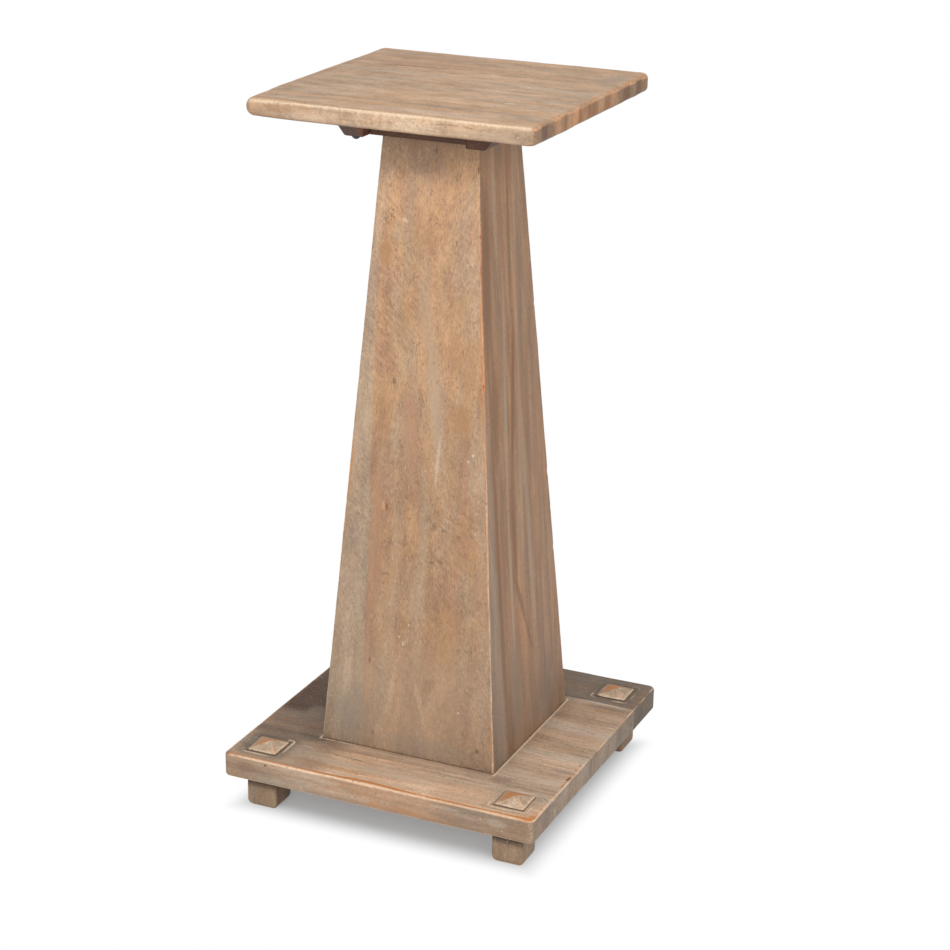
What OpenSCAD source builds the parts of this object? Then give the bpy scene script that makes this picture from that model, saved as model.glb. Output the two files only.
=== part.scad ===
// A wooden pedestal: a square top board on a hollow, tapered square column, which stands on a
// square base board. Four square posts are the feet. Each goes up through the base board and
// ends in a low four-sided point. Four cleats under the top board hold the head of the column.
//
// Frame: millimetres, +Z up. The origin is on the floor under the middle of the base board,
// and the front of the pedestal looks towards -Y.

/* [Overall] */
// Height from the floor to the upper face of the top board
overall_h = 762; // [500:1:1000]
// Side of the square base board
base_side = 355.6; // [320:0.2:480]
// Side of the square top board
top_side = 304.8; // [240:0.2:400]

/* [Top board] */
// Thickness of the top board
top_t = 19; // [14:0.5:32]
// Radius of the top board's corners, seen from above
top_corner_r = 9; // [6:0.5:25]
// Radius of the top board's worn upper and lower edges
top_edge_r = 5; // [1:0.5:6]

/* [Column] */
// Width of the column where it meets the top board
column_top_w = 100; // [70:1:140]
// Width of the column where it stands on the base board
column_bottom_w = 200; // [150:1:220]
// Thickness of the four column boards, measured level
column_wall = 18; // [8:0.5:28]

/* [Base board] */
// Thickness of the base board
base_t = 26.5; // [16:0.5:40]
// Radius of the base board's corners, seen from above
base_corner_r = 6; // [4:0.5:20]
// Radius of the base board's worn upper and lower edges
base_edge_r = 3; // [1:0.5:4]

/* [Feet] */
// Height of the feet below the base board
foot_h = 40; // [15:0.5:80]
// Side of the square foot posts
foot_w = 35; // [24:0.5:44]
// Distance from the base board's edge to a foot's outer face
foot_inset = 18; // [12:0.5:22]
// Radius of the upright edges of a foot and of the edges that it stands on
foot_edge_r = 5; // [1:0.5:8]
// Height of the pointed head of a post above the base board
head_rise = 6.5; // [2:0.5:12]
// Height of the head's short upright sides, below its slopes
head_lip = 0.8; // [0.4:0.1:2]
// Gap between a post and each side of its hole in the base board
post_clearance = 0.3; // [0.1:0.1:0.8]

/* [Cleats] */
// Height of the cleats below the top board
cleat_h = 23; // [12:0.5:40]
// Thickness of the front and back cleats at their lower face
cross_cleat_w = 23; // [12:0.5:30]
// Width of the two side cleats
side_cleat_w = 28; // [20:0.5:34]
// Distance that the side cleats stand clear of the column at their lower face
side_cleat_gap = 3.3; // [0.5:0.1:8]
// Distance that a side cleat runs on past the front and back cleats
side_cleat_overhang = 15; // [8:0.5:20]
// Width of the bevel on a side cleat's outer lower edge
bevel_w = 8; // [2:0.5:10]
// Height of that bevel
bevel_h = 10; // [2:0.5:11]

/* [Screws] */
// Diameter of the domed screw heads under the side cleats
screw_head_d = 9; // [6:0.5:12]
// Height of the domed screw heads
screw_head_h = 3.6; // [2:0.1:4]
// Diameter of the screw shanks
screw_d = 4.2; // [3:0.1:5]
// Depth of a screw in the top board
screw_bite = 11; // [5:0.5:12]
// Distance from the front end of the left cleat to its front screw
screw_end = 6; // [5:0.5:20]
// Distance from a cleat's end to each of the other screws
screw_far_end = 22; // [8:0.5:40]
// Gap around a screw shank in its hole
screw_clearance = 0.1; // [0.05:0.05:0.4]

/* [Hidden] */

pale_wood = [0.62, 0.50, 0.38];
warm_wood = [0.55, 0.41, 0.29];
dark_wood = [0.40, 0.31, 0.25];
dark_steel = [0.12, 0.12, 0.12];

// Flats along each quarter circle of a worn edge
arc_steps = 6;

// Heights of the levels, counted from the floor
base_top_z = foot_h + base_t;
top_under_z = overall_h - top_t;
cleat_under_z = top_under_z - cleat_h;

// Half of the column's width at a height
function column_half(z) = (column_bottom_w + (column_top_w - column_bottom_w)
    * (z - base_top_z) / (top_under_z - base_top_z)) / 2;

// Places of the feet, of the cleats and of their screws
foot_offset = base_side / 2 - foot_inset - foot_w / 2;
cross_cleat_face = column_half(cleat_under_z) + cross_cleat_w;
side_cleat_inner = column_half(cleat_under_z) + side_cleat_gap;
side_cleat_end = cross_cleat_face + side_cleat_overhang;
screw_x = side_cleat_inner + (side_cleat_w - bevel_w) / 2;
far_screw_y = side_cleat_end - screw_far_end;

// Points along a quarter circle, in the order that the outline runs
function quarter(x, y, r, start) = [for (i = [0:arc_steps])
    [x + r * cos(start + 90 * i / arc_steps), y + r * sin(start + 90 * i / arc_steps)]];

// Half section of a slab with round upper and lower edges. It lies to the right of the axis
// and is depth wide, with its lower face at zero.
module half_section(depth, height, upper_r, lower_r) {
    polygon(concat(
        depth > lower_r ? [[0, 0]] : [],
        quarter(depth - lower_r, lower_r, lower_r, -90),
        quarter(depth - upper_r, height - upper_r, upper_r, 0),
        depth > upper_r ? [[0, height]] : []));
}

// Square slab, centred on the axis, with round corners and round upper and lower edges
module round_slab(side, height, corner_r, upper_r, lower_r) {
    reach = side / 2 - corner_r;
    translate([-reach, -reach, 0]) cube([2 * reach, 2 * reach, height]);
    for (turn = [0:90:270]) rotate(turn) {
        // the straight edge strip, and then the round corner at its end
        translate([reach, reach, 0]) rotate([90, 0, 0]) linear_extrude(2 * reach)
            half_section(corner_r, height, upper_r, lower_r);
        translate([reach, reach, 0]) rotate_extrude(angle = 90, $fn = 64)
            half_section(corner_r, height, upper_r, lower_r);
    }
}

// Round hole of a screw, clear of its shank by the named gap
module screw_hole(x, y) {
    translate([x, y, cleat_under_z - 1])
        cylinder(d = screw_d + 2 * screw_clearance, h = cleat_h + screw_bite + 1, $fn = 32);
}

module screw_holes() {
    screw_hole(-screw_x, screw_end - side_cleat_end);
    screw_hole(-screw_x, far_screw_y);
    screw_hole(screw_x, -far_screw_y);
    screw_hole(screw_x, far_screw_y);
}

// Top board, with the blind ends of the screw holes in its lower face
module top_board() {
    color(pale_wood) difference() {
        translate([0, 0, top_under_z])
            round_slab(top_side, top_t, top_corner_r, top_edge_r, top_edge_r);
        screw_holes();
    }
}

// Cleat beside the column, along Y, with a bevel on its outer lower edge
module side_cleat(hand) {
    outer = side_cleat_inner + side_cleat_w;
    color(dark_wood) difference() {
        mirror([hand < 0 ? 1 : 0, 0, 0])
            translate([0, side_cleat_end, 0]) rotate([90, 0, 0]) linear_extrude(2 * side_cleat_end)
                polygon([[side_cleat_inner, cleat_under_z], [outer - bevel_w, cleat_under_z],
                    [outer, cleat_under_z + bevel_h], [outer, top_under_z],
                    [side_cleat_inner, top_under_z]]);
        screw_holes();
    }
}

// Cleat across the front or the back of the column. Its inner face slopes with the column.
module cross_cleat(turn) {
    color(dark_wood) rotate(turn) translate([-side_cleat_inner, 0, 0]) rotate([90, 0, 90])
        linear_extrude(2 * side_cleat_inner)
            polygon([[-cross_cleat_face, cleat_under_z], [-column_half(cleat_under_z), cleat_under_z],
                [-column_half(top_under_z), top_under_z], [-cross_cleat_face, top_under_z]]);
}

// Screw under a side cleat: a shank that reaches into the top board, and a domed head
module screw(x, y) {
    head_r = screw_head_d / 2;
    dome_r = (head_r * head_r + screw_head_h * screw_head_h) / (2 * screw_head_h);
    color(dark_steel) translate([x, y, cleat_under_z]) union() {
        cylinder(d = screw_d, h = cleat_h + screw_bite - 1, $fn = 32);
        intersection() {
            translate([0, 0, dome_r - screw_head_h]) sphere(r = dome_r, $fn = 48);
            translate([0, 0, -screw_head_h - 1]) cylinder(d = 2 * screw_head_d, h = screw_head_h + 1);
        }
    }
}

// One of the four column boards. It tapers upwards and is mitred to its two neighbours. The
// board for the front is turned about the axis to make the others.
module column_board(turn) {
    reach = column_bottom_w;
    color(warm_wood) rotate(turn) intersection() {
        translate([-reach, 0, 0]) rotate([90, 0, 90]) linear_extrude(2 * reach)
            polygon([[-column_half(base_top_z), base_top_z],
                [-column_half(base_top_z) + column_wall, base_top_z],
                [-column_half(top_under_z) + column_wall, top_under_z],
                [-column_half(top_under_z), top_under_z]]);
        linear_extrude(overall_h) polygon([[0, 0], [-reach, -reach], [reach, -reach]]);
    }
}

// Base board, with a square hole for each foot post
module base_board() {
    hole_w = foot_w + 2 * post_clearance;
    color(pale_wood) difference() {
        translate([0, 0, foot_h])
            round_slab(base_side, base_t, base_corner_r, base_edge_r, base_edge_r);
        for (turn = [0:90:270]) rotate(turn)
            translate([foot_offset - hole_w / 2, foot_offset - hole_w / 2, foot_h - 1])
                cube([hole_w, hole_w, base_t + 2]);
    }
}

// Foot post, from the floor up through the base board to its low pointed head. The head's tip
// stands off the post's axis by lean_x and lean_y.
module foot(side_x, side_y, lean_x, lean_y) {
    half_w = foot_w / 2;
    slope_z = base_top_z + head_lip;
    tip_z = base_top_z + head_rise;
    color(pale_wood) translate([side_x * foot_offset, side_y * foot_offset, 0]) union() {
        round_slab(foot_w, foot_h, foot_edge_r, 0.5, foot_edge_r);
        translate([-half_w, -half_w, foot_h - 0.5]) cube([foot_w, foot_w, base_t + head_lip + 0.5]);
        intersection() {
            translate([0, half_w, 0]) rotate([90, 0, 0]) linear_extrude(foot_w)
                polygon([[-half_w, slope_z], [half_w, slope_z], [lean_x, tip_z]]);
            translate([-half_w, 0, 0]) rotate([90, 0, 90]) linear_extrude(foot_w)
                polygon([[-half_w, slope_z], [half_w, slope_z], [lean_y, tip_z]]);
        }
    }
}

top_board();
side_cleat(-1);  // cleat_left
side_cleat(1);  // cleat_right
cross_cleat(0);  // cleat_front
cross_cleat(180);  // cleat_back
screw(-screw_x, screw_end - side_cleat_end);  // screw_left_front
screw(-screw_x, far_screw_y);  // screw_left_back
screw(screw_x, -far_screw_y);  // screw_right_front
screw(screw_x, far_screw_y);  // screw_right_back
column_board(0);  // column_front
column_board(90);  // column_right
column_board(180);  // column_back
column_board(270);  // column_left
base_board();
foot(-1, -1, 1.5, 1);  // foot_front_left
foot(1, -1, 3, 1);  // foot_front_right
foot(1, 1, 4, 2);  // foot_back_right
foot(-1, 1, 0, 2);  // foot_back_left
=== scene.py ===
"""Looks of a limed wooden pedestal: worn boards, mitred column, pegged feet and its studio.

Every board is a closed surface worked out with numpy on a grid, in metres, in the frame of the
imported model: the origin on the floor under the base board, +Z up, the front towards -Y. The
shapes start from the boxes of the model's nodes and only wear inwards from them.
"""

import itertools
import logging
import math
from abc import ABC, abstractmethod
from dataclasses import dataclass, replace
from enum import Enum
from typing import Callable, Optional, Sequence

import bpy
import numpy as np
from mathutils import Matrix, Vector


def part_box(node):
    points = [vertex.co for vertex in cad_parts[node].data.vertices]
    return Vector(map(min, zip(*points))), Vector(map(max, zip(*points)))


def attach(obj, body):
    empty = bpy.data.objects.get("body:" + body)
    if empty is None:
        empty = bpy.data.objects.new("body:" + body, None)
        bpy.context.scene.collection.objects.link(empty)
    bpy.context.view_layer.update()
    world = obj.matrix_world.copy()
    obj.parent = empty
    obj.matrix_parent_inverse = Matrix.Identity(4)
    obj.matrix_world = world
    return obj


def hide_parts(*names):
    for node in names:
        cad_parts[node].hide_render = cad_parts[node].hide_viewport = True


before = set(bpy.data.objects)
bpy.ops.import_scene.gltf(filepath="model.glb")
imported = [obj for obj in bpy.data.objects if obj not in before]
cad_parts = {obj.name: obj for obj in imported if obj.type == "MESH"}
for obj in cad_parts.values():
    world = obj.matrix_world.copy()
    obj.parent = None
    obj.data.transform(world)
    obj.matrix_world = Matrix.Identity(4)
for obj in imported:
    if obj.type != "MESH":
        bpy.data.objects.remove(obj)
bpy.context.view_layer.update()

LOG = logging.getLogger("pedestal")
MM = 0.001
HAIR = 1e-6
TINY = 1e-9
LONG = 1000.0  # a noise cell, in millimetres, so long that the noise doesn't change that way
Colour = tuple[float, float, float]
Place = tuple[float, float, float]
Array = np.ndarray
Masks = dict[str, np.ndarray]
Socket = bpy.types.NodeSocket


# --------------------------------------------------------------------------- numbers on arrays


def smooth(value: Array, low: float, high: float) -> Array:
    """Smooth step: 0 below low, 1 above high, and an S-curve between them.

    Args:
        value: The numbers to step.
        low: Where the step starts.
        high: Where the step ends. It may lie below low, which turns the step round.

    Returns:
        Numbers from 0 to 1.
    """
    t = np.clip((value - low) / (high - low), 0.0, 1.0)
    return t * t * (3.0 - 2.0 * t)


def bump(value: Array, centre: float, width: float) -> Array:
    """Bell curve: 1 at centre, falling to 0.37 at a distance of width."""
    return np.exp(-(((value - centre) / width) ** 2))


def halo(dx: Array, dy: Array, reach: float) -> Array:
    """Round spot about a point: 1 there, falling to 0.37 at a distance of reach."""
    return np.exp(-np.hypot(dx, dy) / reach)


HASH_AXES = np.array([374761393, 668265263, 2147483647])
HASH_MIX = 1274126177
HASH_TOP = 0xFFFFFFFF


def lattice_noise(points: Array, cell: Sequence[float], seed: int) -> Array:
    """Value noise: a hashed number at each corner of a lattice, blended smoothly between them.

    Args:
        points: Places, one a row, in metres.
        cell: Lattice spacing along X, Y and Z, in millimetres.
        seed: Number that picks the pattern.

    Returns:
        One number for each place, from -1 to 1.
    """
    scaled = points / (np.asarray(cell, float) * MM)
    corner = np.floor(scaled).astype(np.int64)
    part = scaled - corner
    part = part * part * (3.0 - 2.0 * part)
    total = np.zeros(len(points))
    for step in range(8):
        offset = np.array([step >> 2 & 1, step >> 1 & 1, step & 1])
        key = ((corner + offset) @ HASH_AXES + seed * HASH_MIX) & HASH_TOP
        key = ((key ^ (key >> 13)) * HASH_MIX) & HASH_TOP
        key ^= key >> 16
        weight = np.prod(np.where(offset == 1, part, 1.0 - part), axis=1)
        total += weight * (key / HASH_TOP * 2.0 - 1.0)
    return total


def layered_noise(points: Array, cell: Sequence[float], seed: int, layers: int = 3) -> Array:
    """Value noise added up over layers, each half as large and half as strong as the last."""
    total = np.zeros(len(points))
    for layer in range(layers):
        total += lattice_noise(points, np.asarray(cell, float) / 2**layer, seed + layer) / 2**layer
    return total / (2.0 - 0.5 ** (layers - 1))


def swell(points: Array, cell: Sequence[float], seed: int) -> Array:
    """Layered noise from 0 to 1."""
    return 0.5 + 0.5 * layered_noise(points, cell, seed)


def spaced(low: float, high: float, step: float, extra: Sequence[float] = ()) -> Array:
    """Even grid lines from low to high, about step apart, with extra lines added in order.

    Args:
        low: First line.
        high: Last line.
        step: Distance between the even lines.
        extra: Lines to add. An even line closer than a third of a step to one gives way to it.

    Returns:
        The places of the lines, rising.
    """
    even = np.linspace(low, high, max(2, round((high - low) / step) + 1))
    added = np.array([line for line in extra if low < line < high])
    if len(added):
        clear = np.abs(even[:, None] - added[None, :]).min(axis=1) > step / 3
        clear[[0, -1]] = True
        even = np.concatenate([even[clear], added])
    return np.unique(np.round(even, 7))


# --------------------------------------------------------------------------- grids and meshes


@dataclass
class Lattice:
    """The surface of a box-shaped lattice: its vertices' places and its outward quads.

    Attributes:
        x: X of each vertex on the plain box.
        y: Y of each vertex on the plain box.
        z: Z of each vertex on the plain box.
        quads: Vertex numbers of each face, counter-clockwise from outside.
        codes: Lattice code of each vertex, (i * ny + j) * nz + k.
        shape: Number of lines along X, Y and Z.
    """

    x: Array
    y: Array
    z: Array
    quads: Array
    codes: Array
    shape: tuple[int, int, int]


def box_lattice(xs: Array, ys: Array, zs: Array, keep: Optional[Callable] = None) -> Lattice:
    """Covers a box with a grid on its six sides, with the edges shared.

    Each side is the grid of its two sets of lines, at the first or the last of the third set.

    Args:
        xs: Grid lines along X.
        ys: Grid lines along Y.
        zs: Grid lines along Z.
        keep: Optional test of a quad's middle (x, y) on the upper and lower sides. A quad
            where it is false is left out, which opens a hole.

    Returns:
        The lattice.
    """
    nx, ny, nz = len(xs), len(ys), len(zs)

    def code(i: Array, j: Array, k: Array) -> Array:
        """Number of a lattice point."""
        return (i * ny + j) * nz + k

    def side(build: Callable, count_a: int, count_b: int, flip: bool) -> Array:
        """Quads of one side, whose point (a, b) build turns into a lattice point."""
        a, b = np.meshgrid(np.arange(count_a - 1), np.arange(count_b - 1), indexing="ij")
        a, b = a.ravel(), b.ravel()
        ring = [build(a, b), build(a + 1, b), build(a + 1, b + 1), build(a, b + 1)]
        return np.stack(ring[::-1] if flip else ring, axis=1)

    zero = np.zeros(1, int)
    level = []
    for last, flip in ((0, True), (nz - 1, False)):
        quads = side(lambda i, j: code(i, j, zero + last), nx, ny, flip)
        if keep is not None:
            i = np.repeat(np.arange(nx - 1), ny - 1)
            j = np.tile(np.arange(ny - 1), nx - 1)
            quads = quads[keep((xs[i] + xs[i + 1]) / 2, (ys[j] + ys[j + 1]) / 2)]
        level.append(quads)
    sides = [
        side(lambda j, k: code(zero, j, k), ny, nz, True),
        side(lambda j, k: code(zero + nx - 1, j, k), ny, nz, False),
        side(lambda k, i: code(i, zero, k), nz, nx, True),
        side(lambda k, i: code(i, zero + ny - 1, k), nz, nx, False),
    ]
    used, quads = np.unique(np.concatenate(level + sides), return_inverse=True)
    x, y, z = xs[used // (ny * nz)], ys[used // nz % ny], zs[used % nz]
    return Lattice(x, y, z, quads.reshape(-1, 4), used, (nx, ny, nz))


def make_piece(name: str, faces: Sequence[Array], points: Array, masks: Masks) -> bpy.types.Object:
    """Puts numpy arrays into a mesh object, smooth shaded, with one attribute for each mask.

    Args:
        name: Name of the object.
        faces: Arrays of faces, each with its own number of corners to a face.
        points: Vertex places in metres, one a row.
        masks: Numbers for each vertex, by the name that the finish reads.

    Returns:
        The new object, at the origin.
    """
    mesh = bpy.data.meshes.new(name)
    loops = np.concatenate([part.ravel() for part in faces]).astype(np.int32)
    counts = np.concatenate([np.full(len(part), part.shape[1]) for part in faces])
    starts = np.concatenate([[0], np.cumsum(counts)[:-1]]).astype(np.int32)
    mesh.vertices.add(len(points))
    mesh.vertices.foreach_set("co", points.astype(np.float32).ravel())
    mesh.loops.add(len(loops))
    mesh.loops.foreach_set("vertex_index", loops)
    mesh.polygons.add(len(counts))
    mesh.polygons.foreach_set("loop_start", starts)
    mesh.polygons.foreach_set("use_smooth", np.ones(len(counts), bool))
    for key, numbers in masks.items():
        layer = mesh.attributes.new(key, "FLOAT", "POINT")
        layer.data.foreach_set("value", np.asarray(numbers, np.float32))
    mesh.update(calc_edges=True)
    mesh.validate()
    piece = bpy.data.objects.new(name, mesh)
    bpy.context.scene.collection.objects.link(piece)
    return piece


def install(piece: bpy.types.Object, node: str, material: bpy.types.Material) -> None:
    """Dresses a piece, seats it on the model's one body and lets it stand for a node.

    Args:
        piece: The new piece.
        node: The model's node that it stands for.
        material: Its finish.
    """
    piece.data.materials.append(material)
    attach(piece, "root")
    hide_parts(node)
    triangles = sum(len(face.vertices) - 2 for face in piece.data.polygons)
    LOG.info("%s stands for %s: %d triangles", piece.name, node, triangles)


# --------------------------------------------------------------------------- node sketches


@dataclass(frozen=True)
class Layer:
    """One layer of noise, drawn out along the grain.

    Attributes:
        across: Features a metre across the grain.
        along: Features a metre along it.
        detail: How many finer noises are added.
        rough: How strong the finer ones are.
    """

    across: float
    along: float
    detail: float = 2.0
    rough: float = 0.5


class Sketch:
    """Small helper that draws the node tree of a material or of the surround."""

    def __init__(self, block: bpy.types.ID) -> None:
        """Starts an empty node tree in a new material or world."""
        self.block = block
        block.use_nodes = True
        self.tree = block.node_tree
        self.tree.nodes.clear()

    def node(self, kind: str, **settings: object) -> bpy.types.Node:
        """Adds a node of that kind and sets its properties."""
        made = self.tree.nodes.new(kind)
        for key, value in settings.items():
            setattr(made, key, value)
        return made

    def plug(self, socket: Socket, value: object) -> None:
        """Links a socket to value, or sets its default where value is a plain number."""
        if isinstance(value, Socket):
            self.tree.links.new(value, socket)
        else:
            socket.default_value = (*value, 1.0) if socket.type == "RGBA" else value

    def math(self, kind: str, a: object, b: object = 0.0, c: object = 0.0) -> Socket:
        """One Math node."""
        made = self.node("ShaderNodeMath", operation=kind)
        for socket, value in zip(made.inputs, (a, b, c)):
            self.plug(socket, value)
        return made.outputs[0]

    def total(self, *parts: object) -> Socket:
        """Sum of several numbers."""
        result = parts[0]
        for part in parts[1:]:
            result = self.math("ADD", result, part)
        return result

    def step(self, value: object, low: float, high: float, to: float = 1.0) -> Socket:
        """Smooth step of a number: 0 at low, and the number named by to at high."""
        made = self.node("ShaderNodeMapRange", interpolation_type="SMOOTHSTEP")
        self.plug(made.inputs["Value"], value)
        for key, number in zip(("From Min", "From Max", "To Min", "To Max"), (low, high, 0.0, to)):
            made.inputs[key].default_value = number
        return made.outputs["Result"]

    def mix(self, amount: object, a: object, b: object, kind: str = "MIX") -> Socket:
        """Mixes two colours."""
        made = self.node("ShaderNodeMix", data_type="RGBA", blend_type=kind, clamp_factor=True)
        self.plug(made.inputs[0], amount)
        self.plug(made.inputs[6], a)
        self.plug(made.inputs[7], b)
        return made.outputs[2]

    def shader(self, kind: str, **inputs: object) -> Socket:
        """A plain shader of that kind with some of its inputs set."""
        made = self.node(kind)
        for key, value in inputs.items():
            self.plug(made.inputs[key], value)
        return made.outputs[0]

    def blend(self, amount: object, a: object, b: object) -> Socket:
        """Mixes two shaders."""
        made = self.node("ShaderNodeMixShader")
        for socket, value in zip(made.inputs, (amount, a, b)):
            self.plug(socket, value)
        return made.outputs[0]

    def seen_rays(self) -> Socket:
        """1 for a ray from the eye or by way of a mirror or glass, and 0 for other light."""
        path = self.node("ShaderNodeLightPath").outputs
        mirror = self.math("MAXIMUM", path["Is Glossy Ray"], path["Is Transmission Ray"])
        return self.math("MAXIMUM", path["Is Camera Ray"], mirror)

    def close(self, surface: object, kind: str = "ShaderNodeOutputMaterial") -> None:
        """Adds the output node and gives it the shader."""
        self.plug(self.node(kind).inputs["Surface"], surface)

    def attribute(self, name: str) -> Socket:
        """Number of a mesh attribute."""
        return self.node("ShaderNodeAttribute", attribute_name=name).outputs["Fac"]

    def mapped(
        self, vector: object, scale: Place = (1.0, 1.0, 1.0), place: Place = (0.0, 0.0, 0.0),
        turn: Place = (0.0, 0.0, 0.0), kind: str = "POINT",
    ) -> Socket:
        """A vector times a scale, turned in degrees and moved to a place; TEXTURE goes back."""
        made = self.node("ShaderNodeMapping", vector_type=kind)
        self.plug(made.inputs["Vector"], vector)
        made.inputs["Scale"].default_value = scale
        made.inputs["Rotation"].default_value = [math.radians(angle) for angle in turn]
        made.inputs["Location"].default_value = place
        return made.outputs["Vector"]

    def grain(self, vector: object, layer: Layer, start: Place) -> Socket:
        """A layer of noise with the grain along Z, moved by start."""
        made = self.node("ShaderNodeTexNoise", noise_dimensions="3D")
        scale = (layer.across, layer.across, layer.along)
        self.plug(made.inputs["Vector"], self.mapped(vector, scale, start))
        made.inputs["Scale"].default_value = 1.0
        made.inputs["Detail"].default_value = layer.detail
        made.inputs["Roughness"].default_value = layer.rough
        return made.outputs[0]

    def finish(
        self, colour: object, rough: object, height: object, bump_mm: float, sheen: float
    ) -> bpy.types.Material:
        """Closes the tree with a Principled shader and returns the material.

        Args:
            colour: Base colour.
            rough: Roughness.
            height: Height for the bump, 0 to 1.
            bump_mm: How many millimetres of relief a height of 1 stands for.
            sheen: Specular level.

        Returns:
            The finished material.
        """
        shader = self.node("ShaderNodeBsdfPrincipled")
        self.plug(shader.inputs["Base Color"], colour)
        self.plug(shader.inputs["Roughness"], rough)
        shader.inputs["Specular IOR Level"].default_value = sheen
        relief = self.node("ShaderNodeBump")
        relief.inputs["Strength"].default_value = 1.0
        relief.inputs["Distance"].default_value = bump_mm * MM
        self.plug(relief.inputs["Height"], height)
        self.plug(shader.inputs["Normal"], relief.outputs["Normal"])
        self.close(shader.outputs[0])
        return self.block


# --------------------------------------------------------------------------- wood finishes


SEED_STEPS = (7.31, 3.17, 5.73)  # how far a seed moves the noise along X, Y and Z
SECOND_STEPS = (4.0, 9.0, 2.0)  # how much further the second set of noises is moved
SWAY = Layer(7.0, 4.0)
FIBRE = Layer(560.0, 150.0, 4.0, 0.75)
CLOUDS = Layer(62.0, 30.0, 5.0, 0.66)
HUE = Layer(48.0, 13.0, 3.0, 0.6)
WASH = Layer(40.0, 7.0, 3.0, 0.6)
RIPPLE = Layer(310.0, 75.0)
RIPPLE_TURN = (0.0, 52.0, 0.0)
RIPPLE_PLACES = Layer(16.0, 9.0, 1.0)
PORES = Layer(640.0, 300.0, 1.0)
PORE_PLACES = Layer(90.0, 40.0, 2.0, 0.6)
RUBBING = Layer(300.0, 300.0, 3.0, 0.7)
SCUFFS = Layer(900.0, 900.0, 3.0, 0.6)
MASK_START, MASK_FULL = 0.18, 0.95  # where a mesh mask starts to show and where it covers
MASK_RAGGED = 1.1  # how far the rubbing frays a mask


class Grain(Enum):
    """Which way a board's grain runs, as the turn that brings the grain upright."""

    UPRIGHT = (0.0, 0.0, 0.0)
    ALONG_X = (0.0, -90.0, 0.0)
    ALONG_Y = (90.0, 0.0, 0.0)


class Tone(Enum):
    """The tones that a mark can go to."""

    ROSY = "rosy"
    BEIGE = "beige"
    DARK = "dark"
    GREY = "grey"
    CREAM = "cream"
    PEACH = "peach"
    RUST = "rust"
    OXBLOOD = "oxblood"
    AMBER = "amber"
    SOOT = "soot"
    LIME = "lime"


ROSY, BEIGE, DARK, GREY, CREAM, PEACH, RUST, OXBLOOD, AMBER, SOOT, LIME = Tone


@dataclass(frozen=True)
class Tones:
    """The wood's own colours, linear, from the darkest pore to the palest rubbed edge."""

    warm: Colour = (0.585, 0.345, 0.185)
    rosy: Colour = (0.480, 0.265, 0.160)
    beige: Colour = (0.540, 0.395, 0.270)
    dark: Colour = (0.210, 0.120, 0.075)
    grey: Colour = (0.300, 0.245, 0.195)
    cream: Colour = (0.840, 0.640, 0.450)
    peach: Colour = (0.780, 0.400, 0.215)
    rust: Colour = (0.600, 0.235, 0.070)
    oxblood: Colour = (0.220, 0.065, 0.030)
    amber: Colour = (0.470, 0.245, 0.105)
    soot: Colour = (0.080, 0.055, 0.040)
    lime: Colour = (0.720, 0.640, 0.540)


@dataclass(frozen=True)
class Stave:
    """A glued strip of a board, told from its neighbour by tone.

    Attributes:
        start: Where it starts, across the grain, in millimetres.
        tone: How bright it is, 1 for the plain board.
        beige: How far it goes to the beige tone, from 0 to 1.
        grey: How far it goes to the grey tone, from 0 to 1.
    """

    start: float
    tone: float = 1.0
    beige: float = 0.0
    grey: float = 0.0


@dataclass(frozen=True)
class Mark:
    """One placed mark: a knot, a streak, a crack or a stain, as a soft-edged ellipsoid.

    Attributes:
        place: Its middle, in millimetres.
        reach: Its half sizes along X, Y and Z, in millimetres.
        tone: The tone it goes to.
        strength: How far it goes there, from 0 to 1.
        turn: Its turn about X, Y and Z, in degrees.
        ragged: How rough its outline is.
        core: Share of the reach that has the full strength.
    """

    place: Place
    reach: Place
    tone: Tone
    strength: float = 0.5
    turn: Place = (0.0, 0.0, 0.0)
    ragged: float = 0.5
    core: float = 0.35


@dataclass(frozen=True)
class Figure:
    """How strong each part of the grain is.

    Attributes:
        bands: Wide soft bands along the grain.
        streaks: Streaks a few millimetres wide.
        fibre: Fine fibre.
        clouds: Blotches that the grain doesn't guide.
        ripple: Short wavy lines across the grain.
        pores: Dark open pores.
        specks: Pale specks of lime left in the pores.
        band_size: Spacing of the bands across the grain, in millimetres.
        streak_size: Spacing of the streaks across the grain, in millimetres.
        sway: How far the grain wanders sideways, in millimetres.
    """

    bands: float = 0.10
    streaks: float = 0.12
    fibre: float = 0.10
    clouds: float = 0.12
    ripple: float = 0.0
    pores: float = 0.5
    specks: float = 0.3
    band_size: float = 30.0
    streak_size: float = 7.0
    sway: float = 22.0


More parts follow.
